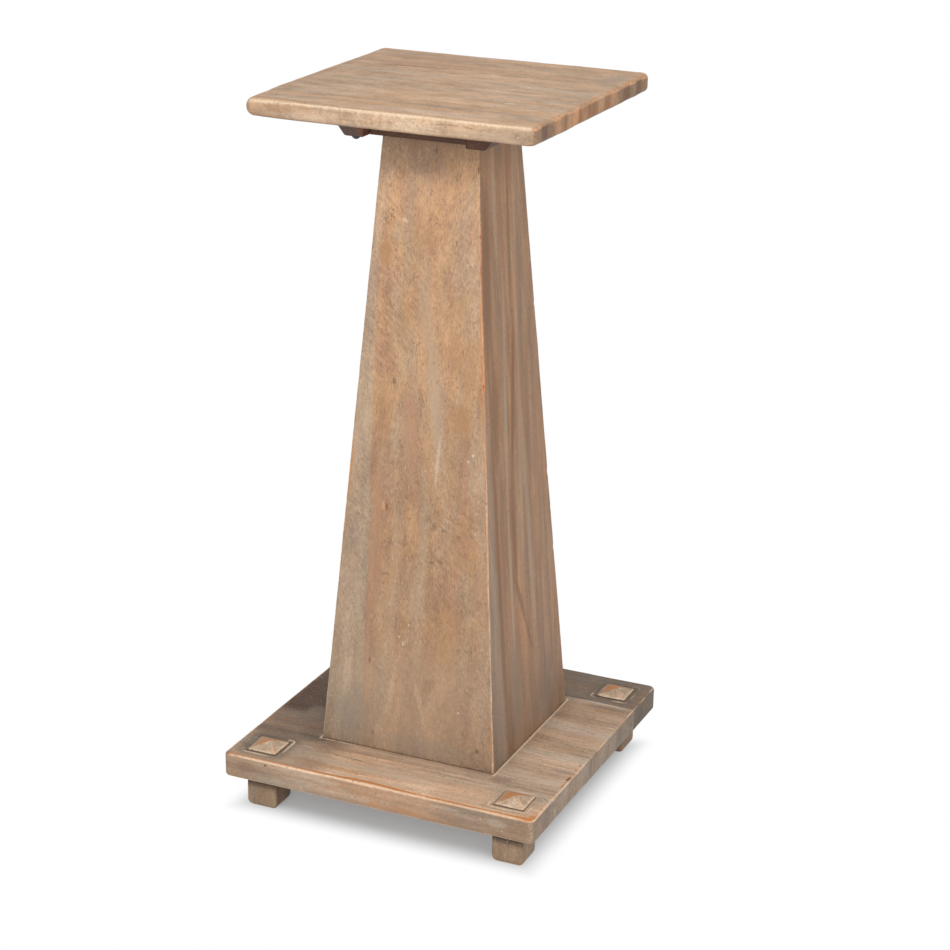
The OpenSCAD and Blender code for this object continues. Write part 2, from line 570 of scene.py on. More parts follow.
@dataclass(frozen=True)
class WoodFinish:
    """Limed and waxed wood with open pores, drawn on object coordinates along the grain.

    Three tones are mixed by noise in clouds drawn out along the grain. Their brightness then
    varies with bands, streaks, fibre and ripple. Next come the glued staves and the mesh's shade
    mask, which is mostly painted shade, painted light where it falls below zero, and some dirt.
    Then come the pores, the placed marks, and last what the mesh's other masks say of rubbed
    edges, dirt, stain, and soot mixed with painted shade.

    Attributes:
        name: The material's name.
        grain: Which way the grain runs.
        seed: Moves the noise, so that no two boards are alike.
        tones: The wood's colours.
        figure: How strong each part of the grain is.
        rosy: How far it goes to the rosy tone, from 0 to 1.
        beige: How far it goes to the beige tone, from 0 to 1.
        staves: The glued strips.
        stave_axis: The axis across them, 0 for X or 1 for Y.
        marks: The placed marks, from the lowest to the uppermost.
        rough: Roughness.
    """

    name: str
    grain: Grain = Grain.UPRIGHT
    seed: float = 0.0
    tones: Tones = Tones()
    figure: Figure = Figure()
    rosy: float = 0.6
    beige: float = 0.5
    staves: tuple[Stave, ...] = ()
    stave_axis: int = 0
    marks: tuple[Mark, ...] = ()
    rough: float = 0.60

    def material(self) -> bpy.types.Material:
        """Draws the finish.

        Returns:
            The material.
        """
        s = Sketch(bpy.data.materials.new(self.name))
        place = s.node("ShaderNodeTexCoord").outputs["Object"]
        local = s.mapped(place, turn=self.grain.value)
        home = tuple(self.seed * step for step in SEED_STEPS)
        away = tuple(home[axis - 1] + step for axis, step in enumerate(SECOND_STEPS))
        figure, tones = self.figure, self.tones

        sway = s.grain(local, SWAY, home)
        shift = s.math("MULTIPLY", s.math("SUBTRACT", sway, 0.5), figure.sway * 2.0 * MM)
        drift = s.node("ShaderNodeCombineXYZ")
        swayed = s.node("ShaderNodeVectorMath", operation="ADD")
        for socket, value in zip(
            (*drift.inputs[:2], *swayed.inputs[:2]), (shift, shift, local, drift.outputs[0])
        ):
            s.plug(socket, value)
        fibre_place = swayed.outputs[0]

        wide, thin = 1000.0 / figure.band_size, 1000.0 / figure.streak_size
        bands = s.grain(fibre_place, Layer(wide, wide * 0.06), home)
        streaks = s.grain(fibre_place, Layer(thin, thin * 0.045, 3.0, 0.62), home)
        fibre = s.grain(fibre_place, FIBRE, home)
        clouds = s.grain(local, CLOUDS, home)
        hue = s.grain(fibre_place, HUE, away)
        wash = s.grain(fibre_place, WASH, home)
        strengths = (figure.bands, figure.streaks, figure.fibre, figure.clouds)
        parts = [1.0]
        for noise, strength in zip((bands, streaks, fibre, clouds), strengths):
            parts.append(self.about(s, noise, strength))
        if figure.ripple:
            waved = s.mapped(fibre_place, turn=RIPPLE_TURN)
            ripple = s.grain(waved, RIPPLE, away)
            where = s.step(s.grain(local, RIPPLE_PLACES, away), 0.42, 0.62)
            parts.append(s.math("MULTIPLY", self.about(s, ripple, figure.ripple), where))
        light = s.total(*parts)

        colour = s.mix(s.step(hue, 0.40, 0.62, self.rosy), tones.warm, tones.rosy)
        beige = s.step(wash, 0.44, 0.68, self.beige)
        grey = s.attribute("grey")
        if self.staves:
            tone, more_beige, more_grey = self._staves(s, local)
            light = s.math("MULTIPLY", light, tone)
            beige = s.total(beige, more_beige)
            grey = s.total(grey, more_grey)
        colour = s.mix(beige, colour, tones.beige)
        colour = s.mix(grey, colour, tones.grey)
        # The shade mask: painted shade that darkens, painted light where it is below zero, and some dirt
        light = s.math("MULTIPLY", light, s.math("SUBTRACT", 1.0, s.attribute("shade")))
        colour = s.mix(1.0, colour, light, "MULTIPLY")

        pore_noise = s.grain(local, PORES, home)
        pore_where = s.grain(local, PORE_PLACES, away)
        level = s.total(pore_noise, s.math("MULTIPLY", s.math("SUBTRACT", pore_where, 0.5), 0.30))
        pore = s.step(level, 0.58, 0.74, figure.pores)
        speck = s.step(level, 0.36, 0.22, figure.specks)
        colour = s.mix(pore, colour, tones.dark)
        colour = s.mix(speck, colour, tones.lime)

        rub = s.grain(place, RUBBING, home)
        uneven = s.math("SUBTRACT", rub, 0.5)
        for mark in self.marks:
            tone = getattr(tones, mark.tone.value)
            colour = s.mix(self._mark(s, mark, place, uneven), colour, tone)
        # The soot mask holds painted shade too: in the gaps round the pegs and on the feet under the base
        # board
        for mask, tone in (
            ("soot", tones.soot), ("stain", tones.dark), ("rust", tones.rust),
            ("peach", tones.peach), ("cream", tones.cream), ("chip", tones.oxblood),
        ):
            ragged = s.math("MULTIPLY_ADD", uneven, MASK_RAGGED, s.attribute(mask))
            colour = s.mix(s.step(ragged, MASK_START, MASK_FULL), colour, tone)

        rough = s.total(self.rough, self.about(s, streaks, 0.10), s.step(pore, 0.0, 1.0, 0.1))
        heights = ((fibre, 0.45), (streaks, 0.35), (rub, 0.25), (pore, -0.5))
        height = s.total(*(s.math("MULTIPLY", part, share) for part, share in heights))
        return s.finish(colour, rough, height, bump_mm=0.30, sheen=0.30)

    @staticmethod
    def about(s: Sketch, noise: Socket, amount: float) -> Socket:
        """A noise brought about zero: its middle at 0 and its usual reach at the amount."""
        return s.math("MULTIPLY", s.math("SUBTRACT", noise, 0.5), 4.0 * amount)

    @staticmethod
    def _mark(s: Sketch, mark: Mark, place: Socket, uneven: Socket) -> Socket:
        """Strength of a placed mark: a smooth step on the distance in its own ellipsoid.

        Args:
            s: The sketch to draw on.
            mark: The mark.
            place: Object coordinates.
            uneven: Noise about zero that roughens the outline.

        Returns:
            How far the colour goes to the mark's tone.
        """
        reach, middle = (tuple(v * MM for v in sizes) for sizes in (mark.reach, mark.place))
        length = s.node("ShaderNodeVectorMath", operation="LENGTH")
        s.plug(length.inputs[0], s.mapped(place, reach, middle, mark.turn, "TEXTURE"))
        far = s.math("MULTIPLY_ADD", uneven, mark.ragged * 2.0, length.outputs["Value"])
        return s.step(far, 1.0, mark.core, mark.strength)

    def _staves(self, s: Sketch, local: Socket) -> tuple[Socket, Socket, Socket]:
        """Tone, beige and grey of the glued staves, as steps at each seam across the grain.

        Args:
            s: The sketch to draw on.
            local: Coordinates along the grain.

        Returns:
            The brightness, and how beige and how grey the board is at each place.
        """
        split = s.node("ShaderNodeSeparateXYZ")
        s.plug(split.inputs[0], local)
        across = split.outputs[self.stave_axis]
        shown = [getattr(self.staves[0], key) for key in ("tone", "beige", "grey")]
        for last, stave in zip(self.staves, self.staves[1:]):
            edge = s.step(across, (stave.start - 0.5) * MM, (stave.start + 0.5) * MM)
            changes = (stave.tone - last.tone, stave.beige - last.beige, stave.grey - last.grey)
            shown = [
                s.math("MULTIPLY_ADD", edge, change, before) for change, before in zip(changes, shown)
            ]
        return tuple(shown)


@dataclass(frozen=True)
class SteelFinish:
    """Blackened steel of the screw heads, a little scuffed.

    Attributes:
        name: The material's name.
        colour: The near-black of the metal.
        scuffed: The paler colour of the scuffs.
    """

    name: str = "black_screw_steel"
    colour: Colour = (0.020, 0.021, 0.024)
    scuffed: Colour = (0.10, 0.10, 0.105)

    def material(self) -> bpy.types.Material:
        """Draws the finish: near-black metal with scuffs that are paler and smoother.

        Returns:
            The material.
        """
        s = Sketch(bpy.data.materials.new(self.name))
        place = s.node("ShaderNodeTexCoord").outputs["Object"]
        scuff = s.grain(place, SCUFFS, (0.0, 0.0, 0.0))
        colour = s.mix(s.step(scuff, 0.52, 0.75), self.colour, self.scuffed)
        rough = s.math("MULTIPLY_ADD", scuff, 0.3, 0.3)
        return s.finish(colour, rough, scuff, bump_mm=0.05, sheen=0.5)


# --------------------------------------------------------------------------- this pedestal's finishes

THROUGH = 20000  # the reach, in millimetres, of a mark that goes right through its board
TOP_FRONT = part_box("top_board")[0].y / MM  # where its front edge is along Y, in millimetres
BASE_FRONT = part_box("base_board")[0].y / MM


def on_front(
    x: float, z: float, wide: float, high: float, tone: Tone, strength: float, turn: float = 0,
    ragged: float = 0.5,
) -> Mark:
    """A mark on the column's front or back, at x and z, leaning by turn degrees."""
    return Mark((x, 0, z), (wide, THROUGH, high), tone, strength, (0, turn, 0), ragged)


def on_side(
    y: float, z: float, wide: float, high: float, tone: Tone, strength: float, turn: float = 0,
    ragged: float = 0.5,
) -> Mark:
    """A mark on the column's right or left side, at y and z, leaning by turn degrees."""
    return Mark((0, y, z), (THROUGH, wide, high), tone, strength, (-turn, 0, 0), ragged)


def on_level(
    x: float, y: float, long: float, wide: float, tone: Tone, strength: float, turn: float = 0,
    ragged: float = 0.5,
) -> Mark:
    """A mark on a level board, at x and y, drawn out along X and turned by turn degrees."""
    return Mark((x, y, 0), (long, wide, THROUGH), tone, strength, (0, 0, turn), ragged)


def on_top_edge(
    x: float, z: float, long: float, high: float, tone: Tone, strength: float, turn: float = 0,
    y: float = TOP_FRONT,
) -> Mark:
    """A mark on the top board's front edge, at x and z, drawn out along X and dipping by turn."""
    return Mark((x, y, z), (long, 7, high), tone, strength, (0, turn, 0), ragged=0.25, core=0.5)


def on_base_edge(*row: object) -> Mark:
    """A mark on the base board's front edge, by the same row as one on the top board's."""
    return on_top_edge(*row, y=BASE_FRONT)


def each(make: Callable[..., Mark], *rows: tuple) -> tuple[Mark, ...]:
    """The marks that make gives, one from each row of its arguments.

    Args:
        make: One of the functions above.
        rows: Two places and two half sizes in millimetres, the tone, the strength, and where
            they differ from the usual ones the turn in degrees and the raggedness.

    Returns:
        The marks, in order.
    """
    return tuple(make(*row) for row in rows)


TOP_FINISH = WoodFinish(
    "limed_top_wood", grain=Grain.ALONG_X, seed=1.0, rosy=0.35, beige=0.7, stave_axis=1,
    tones=Tones(warm=(0.555, 0.355, 0.214), rosy=(0.455, 0.270, 0.160), beige=(0.555, 0.412, 0.292)),
    figure=Figure(bands=0.18, streaks=0.20, fibre=0.18, clouds=0.30, pores=0.42, specks=0.25,
                  streak_size=10.0, sway=18.0),
    staves=(Stave(-300, 1), Stave(-55, 1.03), Stave(68, 1)),
    marks=(
        *each(
            on_level,
            (-72, 68, 78, 4, OXBLOOD, 0.60, 5.5, 0.5), (-60, 84, 100, 14, ROSY, 0.75, 3),
            (60, 80, 80, 5, AMBER, 0.45, 1, 0.8), (-128, -60, 26, 6, DARK, 0.45, -14, 0.8),
            (-105, -144, 60, 5, DARK, 0.32, -1, 0.7), (-40, -84, 38, 16, AMBER, 0.28, 30, 0.9),
            (-42, -12, 26, 22, AMBER, 0.20, 30, 0.9), (30, -92, 70, 10, AMBER, 0.26, 2, 0.9),
            (0, -118, 110, 8, AMBER, 0.30, 1, 0.9), (-20, 30, 90, 8, BEIGE, 0.5, -1, 0.8),
            (40, 8, 70, 6, ROSY, 0.45, 1.5, 0.9), (89, -62, 8, 4, LIME, 0.75, 10, 0.3),
            (72, -44, 44, 22, LIME, 0.10, 0, 0.9), (125, -39, 14, 14, LIME, 0.22, 0, 0.8),
            (118, -92, 40, 12, AMBER, 0.34, 3, 0.9), (140, -5, 9, 50, GREY, 0.25, 0, 0.9),
            (90, -60, 60, 40, AMBER, 0.16, 0, 0.9), (95, 0, 50, 24, AMBER, 0.16, 0, 0.9),
            (134, 96, 16, 44, GREY, 0.42, 0, 0.9), (124, 20, 30, 16, DARK, 0.16, 4, 0.9),
            (60, 116, 70, 10, ROSY, 0.45, -2, 0.8), (-85, 118, 60, 12, ROSY, 0.60, -1, 0.8),
            (-60, 134, 70, 6, DARK, 0.22, -1, 0.8), (-143, 20, 7, 90, DARK, 0.22, 0, 0.9),
            (120, -138, 34, 7, AMBER, 0.50, 2, 0.8),
        ),
        *each(
            on_top_edge,
            (33, 752.6, 8.5, 0.5, SOOT, 0.75, 27), (47, 748.6, 11, 0.4, SOOT, 0.65, 9),
            (62, 755.8, 15, 0.45, SOOT, 0.70, -2), (86, 755.2, 8, 0.4, SOOT, 0.60, 4),
            (108, 755.6, 9, 0.4, DARK, 0.60, -5), (134, 752, 4, 0.45, SOOT, 0.65, -50),
            (-69, 754, 3, 0.45, DARK, 0.65, 70), (-36, 750, 22, 0.4, DARK, 0.35, 3),
            (-112, 753, 16, 4, AMBER, 0.30),
        ),
    ),
)

BASE_FINISH = WoodFinish(
    "limed_base_wood", grain=Grain.ALONG_X, seed=4.0, rosy=0.4, beige=0.7, stave_axis=1,
    tones=Tones(warm=(0.575, 0.385, 0.250), rosy=(0.46, 0.285, 0.180), beige=(0.575, 0.46, 0.355)),
    figure=Figure(bands=0.20, streaks=0.24, fibre=0.18, clouds=0.14, pores=0.50, specks=0.35,
                  streak_size=6.0, sway=10.0),
    staves=(
        Stave(-300, 1.38), Stave(-116, 1.12, 0.1, 0.05), Stave(-55, 1.18, 0.1, 0.05),
        Stave(55, 1.02, 0, 0.10), Stave(108, 0.47, 0, 0),
    ),
    marks=(
        *each(
            on_level,
            # The dark mark at -150, 40 is part of the column's painted shadow on the left rear
            (150, -55, 34, 1.4, CREAM, 0.80, 0, 0.3), (-150, 40, 26, 90, DARK, 0.25, 0, 0.9),
            (-135, -45, 16, 16, BEIGE, 0.30, 0, 0.9), (171, 55, 8, 1.5, LIME, 0.7, 0, 0.3),
            (138, 108, 44, 2, LIME, 0.80, 0, 0.35), (150, 99, 36, 5, SOOT, 0.45, 0, 0.6),
            (150, 91, 32, 4, AMBER, 0.6, 0, 0.6), (60, -122, 66, 2.6, DARK, 0.38, -1, 0.8),
            (-50, -117, 70, 2.8, DARK, 0.38, 1, 0.8), (20, -132, 60, 2.6, ROSY, 0.45, 0, 0.8),
            (-58, -130, 40, 1.6, DARK, 0.50, -4, 0.5), (-104, -126, 9, 1.4, LIME, 0.55, 0, 0.5),
            (-118, -92, 16, 18, SOOT, 0.40, 20, 0.9), (112, -107, 16, 8, DARK, 0.40, 10, 0.9),
            (155, -78, 22, 10, ROSY, 0.35, 0, 0.9), (151, -14, 24, 8, AMBER, 0.28, 0, 0.9),
            (163, -63, 16, 5, GREY, 0.55, 0, 0.8), (25, -142, 60, 18, LIME, 0.16, 0, 0.9),
        ),
        *each(
            on_base_edge,
            (-150, 55, 14, 8, DARK, 0.28), (-62, 59, 26, 3.5, LIME, 0.20, 2), (92, 50, 34, 5, DARK, 0.24),
            (80, 60, 22, 2.5, LIME, 0.22), (138, 56, 14, 6, LIME, 0.18),
            (-127, 62.5, 1.8, 1.6, SOOT, 0.85), (-12, 51.5, 3, 2, LIME, 0.30),
            (7, 57.5, 4, 1.2, LIME, 0.28), (120, 57, 1.6, 1.5, PEACH, 0.60),
            (144, 48.5, 1.6, 1.2, PEACH, 0.65), (-110, 50, 40, 6, GREY, 0.22),
            (40, 46, 60, 4, RUST, 0.16),
        ),
        *each(
            on_level,
            (-20, -146, 100, 8, BEIGE, 0.55, 0, 0.8), (-60, -158, 60, 5, AMBER, 0.45, 0, 0.8),
            (165, -20, 30, 4, DARK, 0.35, 0, 0.8), (150, 20, 40, 5, ROSY, 0.5, 0, 0.8),
            (145, -88, 40, 4, BEIGE, 0.5, 0, 0.8), (-145, -95, 30, 4, DARK, 0.4, 0, 0.8),
            (170, -127, 7, 0.9, SOOT, 0.6, -35, 0.4), (172, 4, 3.5, 0.8, LIME, 0.85, 78, 0.3),
            (173, -10, 3, 0.7, LIME, 0.75, 60, 0.3), (170, 14, 3, 0.7, LIME, 0.65, 35, 0.3),
            (177, -127, 3, 0.8, SOOT, 0.30, 60, 0.4),
        ),
    ),
)

FOOT_FINISH = WoodFinish(
    "limed_foot_wood", seed=30.0, rosy=0.4, beige=0.5,
    tones=Tones(warm=(0.375, 0.250, 0.152), rosy=(0.32, 0.195, 0.125), beige=(0.41, 0.325, 0.24)),
    figure=Figure(bands=0.14, streaks=0.18, fibre=0.18, clouds=0.28, pores=0.6, specks=0.4),
)

# The cleats' wood is dark, and darkened further as painted shade under the top board
CLEAT_FINISH = WoodFinish(
    "dark_cleat_wood_with_painted_shade", grain=Grain.ALONG_X, seed=9.0, rosy=0.7, beige=0.3,
    tones=Tones(
        warm=(0.082, 0.032, 0.014), rosy=(0.076, 0.027, 0.014), beige=(0.100, 0.047, 0.028),
        dark=(0.030, 0.013, 0.008), grey=(0.150, 0.108, 0.094), cream=(0.34, 0.26, 0.21),
        rust=(0.20, 0.070, 0.035), soot=(0.02, 0.015, 0.012), lime=(0.26, 0.20, 0.16),
    ),
    figure=Figure(bands=0.12, streaks=0.20, fibre=0.16, clouds=0.25, pores=0.5, specks=0.15),
)

COLUMN_FIGURE = Figure(
    bands=0.07, streaks=0.09, fibre=0.27, clouds=0.16, ripple=0.17, pores=0.52, specks=0.32,
    band_size=26.0, streak_size=10.0, sway=20.0,
)
SIDE_FIGURE = replace(
    COLUMN_FIGURE, bands=0.21, streaks=0.26, fibre=0.18, clouds=0.08, ripple=0.0, pores=0.36, specks=0.18,
    band_size=18.0, streak_size=8.0, sway=9.0,
)
SIDE_TONES = Tones(
    warm=(0.505, 0.280, 0.153), rosy=(0.440, 0.232, 0.136), beige=(0.500, 0.355, 0.240),
    amber=(0.310, 0.165, 0.088), lime=(0.570, 0.440, 0.325),
)

COLUMN_FINISHES = (
    WoodFinish(
        "limed_column_front", seed=2.0, figure=COLUMN_FIGURE, rosy=0.75, beige=0.55,
        staves=(Stave(-300, 1.03, 0.62, 0.12), Stave(-53.3, 0.99)),
        marks=each(
            on_front,
            (-44, 598, 9, 20, AMBER, 0.60), (-21, 528, 14, 42, AMBER, 0.32),
            (-40, 427, 10, 60, AMBER, 0.30), (46, 437, 15, 22, AMBER, 0.55),
            (36, 505, 11, 26, AMBER, 0.25), (52, 300, 26, 34, AMBER, 0.35),
            (-10, 425, 12, 62, ROSY, 0.55), (53, 490, 9, 30, ROSY, 0.45), (-43, 300, 9, 110, ROSY, 0.45),
            (-50, 220, 3.5, 150, ROSY, 0.5, 0, 0.3), (17, 455, 11, 115, BEIGE, 0.60, -7, 1),
            (22, 392, 2.6, 34, LIME, 0.40, 4, 0.8), (-75, 222, 26, 66, CREAM, 0.10, 0, 0.25),
            (-66, 434, 16, 80, CREAM, 0.16), (-60, 545, 10, 60, GREY, 0.30, 4, 0.8),
            (0, 130, 150, 100, BEIGE, 0.30, 0, 0.6), (-74, 300, 16, 26, GREY, 0.25, 0, 0.9),
            (-24, 634, 5, 3, CREAM, 0.6, 20), (-30, 620, 9, 14, BEIGE, 0.4),
            # The dark marks at heights 722 and 688 are painted shadow of the top board
            (0, 560, 10, 60, BEIGE, 0.35), (0, 722, 60, 20, DARK, 0.30, 0, 0.9),
            (-10, 688, 20, 10, DARK, 0.26, 0, 1), (7, 706, 2, 6, SOOT, 0.35, 0, 0.8),
            (-38, 690, 2.5, 4, SOOT, 0.30, 0, 0.8), (-30, 469, 3, 5, DARK, 0.60),
            (-33, 335, 2.2, 6, OXBLOOD, 0.55), (-37, 336, 2.2, 6, PEACH, 0.5),
            (21, 322, 3.5, 6, DARK, 0.55), (32, 320, 4, 2.5, SOOT, 0.4), (49, 316, 4, 2.5, SOOT, 0.35),
            (20, 284, 4, 3, SOOT, 0.4), (29, 286, 6, 3, SOOT, 0.35, 20), (61, 404, 2.5, 2, LIME, 0.8),
            (56, 397, 1.8, 2.2, LIME, 0.7), (-47, 165, 1.8, 4.5, OXBLOOD, 0.60),
            (80, 88, 2.8, 3.4, SOOT, 0.55), (-41, 85, 3, 4.5, SOOT, 0.30, 0, 0.9),
            (-58, 87, 3.5, 7, SOOT, 0.30, 0, 0.9), (-64, 100, 26, 46, GREY, 0.50, 0, 0.9),
            (20, 78, 80, 16, GREY, 0.40, 0, 0.9), (57, 126, 1.8, 1.3, LIME, 0.75),
            (-14, 197, 1.6, 1.5, LIME, 0.70), (-9, 190, 1.8, 3, LIME, 0.5, 15),
            (-3, 212, 1.2, 2.2, LIME, 0.7), (4, 240, 9, 46, BEIGE, 0.35, 3, 0.9),
            (-28, 250, 6, 50, AMBER, 0.30, 12, 0.8), (34, 240, 30, 9, DARK, 0.16, -25, 0.9),
            (40, 205, 30, 50, AMBER, 0.28, 25, 0.8), (-20, 140, 5, 42, CREAM, 0.16, 9, 0.9),
            (12, 128, 4, 38, CREAM, 0.14, -14, 0.9), (-34, 190, 5, 46, AMBER, 0.32, 10, 0.8),
            (58, 110, 16, 30, DARK, 0.16, 20, 0.9), (-72, 150, 7, 34, CREAM, 0.20, 6, 0.8),
            (22, 150, 9, 16, DARK, 0.25, 40, 0.8),
        ),
    ),
    WoodFinish(
        "limed_column_right", seed=3.0, figure=SIDE_FIGURE, tones=SIDE_TONES, rosy=0.6, beige=0.3,
        stave_axis=1,
        staves=(
            Stave(-300, 1, 0.2, 0.55), Stave(-64.5, 0.90, 0, 0.05), Stave(-30, 0.97),
            Stave(24, 1, 0.1, 0.15),
        ),
        marks=each(
            on_side,
            (-58, 270, 5.5, 230, AMBER, 0.95, 0, 0.25), (-45, 300, 7, 130, AMBER, 0.45, 2),
            (-50, 590, 14, 120, AMBER, 0.95, 4.5, 0.4), (-46, 440, 12, 70, AMBER, 0.70, 4, 0.5),
            (-20, 455, 5.5, 170, LIME, 0.55, 3.9, 0.25), (-29, 250, 4.5, 130, LIME, 0.60, 0.5, 0.25),
            (-30, 130, 18, 100, GREY, 0.45), (-2, 445, 6, 130, AMBER, 1, 7.5, 0.25),
            (-16, 300, 8, 75, AMBER, 0.90, 0, 0.3), (-9, 228, 6, 44, DARK, 0.55, -22, 0.3),
            (9, 182, 4, 34, DARK, 0.50, -22, 0.3), (11, 400, 7, 160, BEIGE, 0.60, 4),
            (22, 300, 7, 180, LIME, 0.45, -1.5, 0.5), (5, 300, 5, 90, LIME, 0.35, 3, 0.5),
            (27, 540, 7, 130, GREY, 0.35, 3), (34, 420, 9, 120, AMBER, 0.40, 3, 0.5),
            (50, 330, 14, 200, ROSY, 0.35, 4), (0, 120, 120, 60, GREY, 0.22, 0, 0.9),
            (-22, 650, 7, 90, LIME, 0.45, 2), (8, 610, 6, 120, AMBER, 0.70, 3, 0.4),
            (24, 640, 4, 90, LIME, 0.35, 3), (40, 90, 60, 30, GREY, 0.35, 0, 0.9),
        ),
    ),
    WoodFinish(
        "limed_column_back", seed=5.0, figure=COLUMN_FIGURE, rosy=0.6, beige=0.6,
        staves=(Stave(-300, 0.97, 0.3, 0.2), Stave(-46, 1), Stave(41, 0.92, 0, 0.1)),
        marks=each(
            on_front,
            (12, 540, 4, 6, OXBLOOD, 0.5), (-20, 300, 12, 70, AMBER, 0.4),
            (30, 420, 10, 90, LIME, 0.3, 5), (60, 180, 20, 60, ROSY, 0.5),
            (0, 78, 90, 18, GREY, 0.4, 0, 0.9),
        ),
    ),
    WoodFinish(
        "limed_column_left", seed=6.0, figure=SIDE_FIGURE, tones=SIDE_TONES, rosy=0.5, beige=0.5,
        stave_axis=1,
        staves=(
            Stave(-300, 0.93, 0, 0.1), Stave(-31, 1.02, 0.2), Stave(38, 0.95, 0.1, 0.3),
        ),
        marks=each(
            on_side,
            (-52, 420, 7, 160, AMBER, 0.5, -3), (5, 330, 4, 180, LIME, 0.35),
            (20, 500, 8, 110, AMBER, 0.45, 3), (0, 84, 90, 22, GREY, 0.4, 0, 0.9),
        ),
    ),
)


# --------------------------------------------------------------------------- boards


@dataclass
class Skin:
    """The rounded surface of a slab before its wear.

    Attributes:
        grid: The plain box's grid.
        points: Place of each vertex, one a row.
        normals: Outward direction of each vertex.
        outward: Outward direction in plan, two numbers a row.
        inset: Distance from the rim, in metres.
        upper: 0 on the side, rising to 1 on the upper face and falling to -1 on the lower one.
    """

    grid: Lattice
    points: Array
    normals: Array
    outward: Array
    inset: Array
    upper: Array

    def places(self) -> tuple[Array, Array]:
        """X and Y of each vertex, in millimetres."""
        return self.points[:, 0] / MM, self.points[:, 1] / MM


@dataclass
class Slab(ABC):
    """A square board with rounded corners and worn edges, closed all round.

    The surface is the grid on a plain box. Near the rim, the distance to the rim or to the face
    becomes an angle on a quarter circle, so the edge is round, and the square rings of the grid
    become rings with round corners. The wear then pushes the surface inwards.

    Attributes:
        node: The model's node.
        corner_r: Corner radius in plan, in metres.
        edge_r: Radius of the worn edges, in metres.
        step: Grid spacing on the faces, in metres.
        seams: Places of the glue lines along Y, in metres.
        seed: Picks the wear.
        wave_depth: Depth of the low waves in the faces, in metres.
        seam_depth: Depth of the glue lines, in metres.
        chip_depth: Depth of the chips, in metres.
    """

    node: str
    corner_r: float
    edge_r: float
    step: float
    seams: tuple[float, ...]
    seed: int
    wave_depth: float = 0.22 * MM
    seam_depth: float = 0.22 * MM
    chip_depth: float = 1.3 * MM

    def __post_init__(self) -> None:
        """Reads the node's box."""
        low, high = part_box(self.node)
        self.half = high.x
        self.low_z, self.high_z = low.z, high.z

    def lines(self, extra: Sequence[float] = ()) -> Array:
        """Grid lines across the board, close together at the rim and at each named place."""
        rim = self.edge_r * np.array([0.12, 0.3, 0.5, 0.75, 1.0, 1.4])
        rim = np.concatenate([rim, self.edge_r + np.array([2.6, 4.0]) * MM])
        near = [sign * (self.half - gap) for gap in rim for sign in (-1, 1)]
        return spaced(-self.half, self.half, self.step, (*near, *extra))

    def surface(self, keep: Optional[Callable] = None, extra: Sequence[float] = ()) -> Skin:
        """Rounds the box grid into the slab.

        Args:
            keep: Passed to box_lattice.
            extra: Further grid lines along both X and Y.

        Returns:
            The rounded surface.
        """
        seam_lines = [seam + gap * MM for seam in self.seams for gap in (-0.8, 0.0, 0.8)]
        rise = np.array([0.0, 0.2, 0.45, 0.72, 1.0]) * self.edge_r
        side = np.linspace(self.low_z + self.edge_r, self.high_z - self.edge_r, 6)
        zs = np.unique(np.concatenate([self.low_z + rise, self.high_z - rise, side]).round(7))
        grid = box_lattice(self.lines(extra), self.lines((*extra, *seam_lines)), zs, keep)

        inset = self.half - np.maximum(np.abs(grid.x), np.abs(grid.y))
        half_thick = (self.high_z - self.low_z) / 2
        middle = (self.low_z + self.high_z) / 2
        radius = self.edge_r * (1.0 + self.rim_wear(grid.x, grid.y))
        radius = np.minimum(radius, 0.96 * half_thick)
        sign = np.where(grid.z >= middle, 1.0, -1.0)
        face = np.where(grid.z >= middle, self.high_z, self.low_z)
        depth = np.abs(face - grid.z)
        on_face = depth < HAIR
        # The angle on the quarter circle: 90 degrees on the face, 45 at the arris, 0 on the side
        near_rim = np.clip(1.0 - inset / self.edge_r, 0, 1)
        near_face = np.clip(1.0 - depth / self.edge_r, 0, 1)
        angle = np.radians(np.where(on_face, 90.0 - 45.0 * near_rim, 45.0 * near_face))
        curved = np.where(on_face, near_rim, near_face) > 0
        # Beyond the worn edge the face's rings are moved in, which fades out over 12 mm
        moved = (radius - self.edge_r) * np.exp(-(inset - self.edge_r) / (12 * MM))
        ring = np.where(curved, radius * (1.0 - np.cos(angle)), np.where(on_face, inset + moved, 0.0))
        straight = middle + (grid.z - middle) * (half_thick - radius) / (half_thick - self.edge_r)
        height = np.where(on_face, grid.z, straight)
        height = np.where(curved, face - sign * radius * (1.0 - np.sin(angle)), height)

        points, outward = self.plan(grid, inset, ring)
        points[:, 2] = height
        normals = np.column_stack([outward * np.cos(angle)[:, None], sign * np.sin(angle)])
        return Skin(grid, points, normals, outward, ring, sign * angle / (np.pi / 2))

    def rim_wear(self, x: Array, y: Array) -> Array:
        """Share by which the edge radius grows or shrinks along the rim."""
        places = np.stack([x, y, np.zeros_like(x)], axis=1)
        return 0.34 * layered_noise(places, (38, 38, LONG), self.seed)

    def plan(self, grid: Lattice, inset: Array, ring: Array) -> tuple[Array, Array]:
        """Moves each square ring of the grid to its new inset and rounds its corners.

        A ring at an inset has corner radius corner_r less the inset. The part of a place that
        lies in the corner square is brought to the corner's circle, along its own direction.

        Args:
            grid: The plain grid.
            inset: Each vertex's old distance from the rim.
            ring: Each vertex's new distance from the rim.

        Returns:
            Points with Z unset, and the outward direction in plan.
        """
        scale = (self.half - ring) / np.maximum(self.half - inset, TINY)
        x, y = grid.x * scale, grid.y * scale
        core = self.half - ring - np.maximum(self.corner_r - ring, 0.0)
        inner_x, inner_y = np.clip(x, -core, core), np.clip(y, -core, core)
        dx, dy = x - inner_x, y - inner_y
        length = np.maximum(np.hypot(dx, dy), TINY)
        biggest = np.maximum(np.abs(dx), np.abs(dy))
        points = np.zeros((len(x), 3))
        points[:, 0] = inner_x + dx / length * biggest
        points[:, 1] = inner_y + dy / length * biggest
        return points, np.stack([dx / length, dy / length], axis=1)

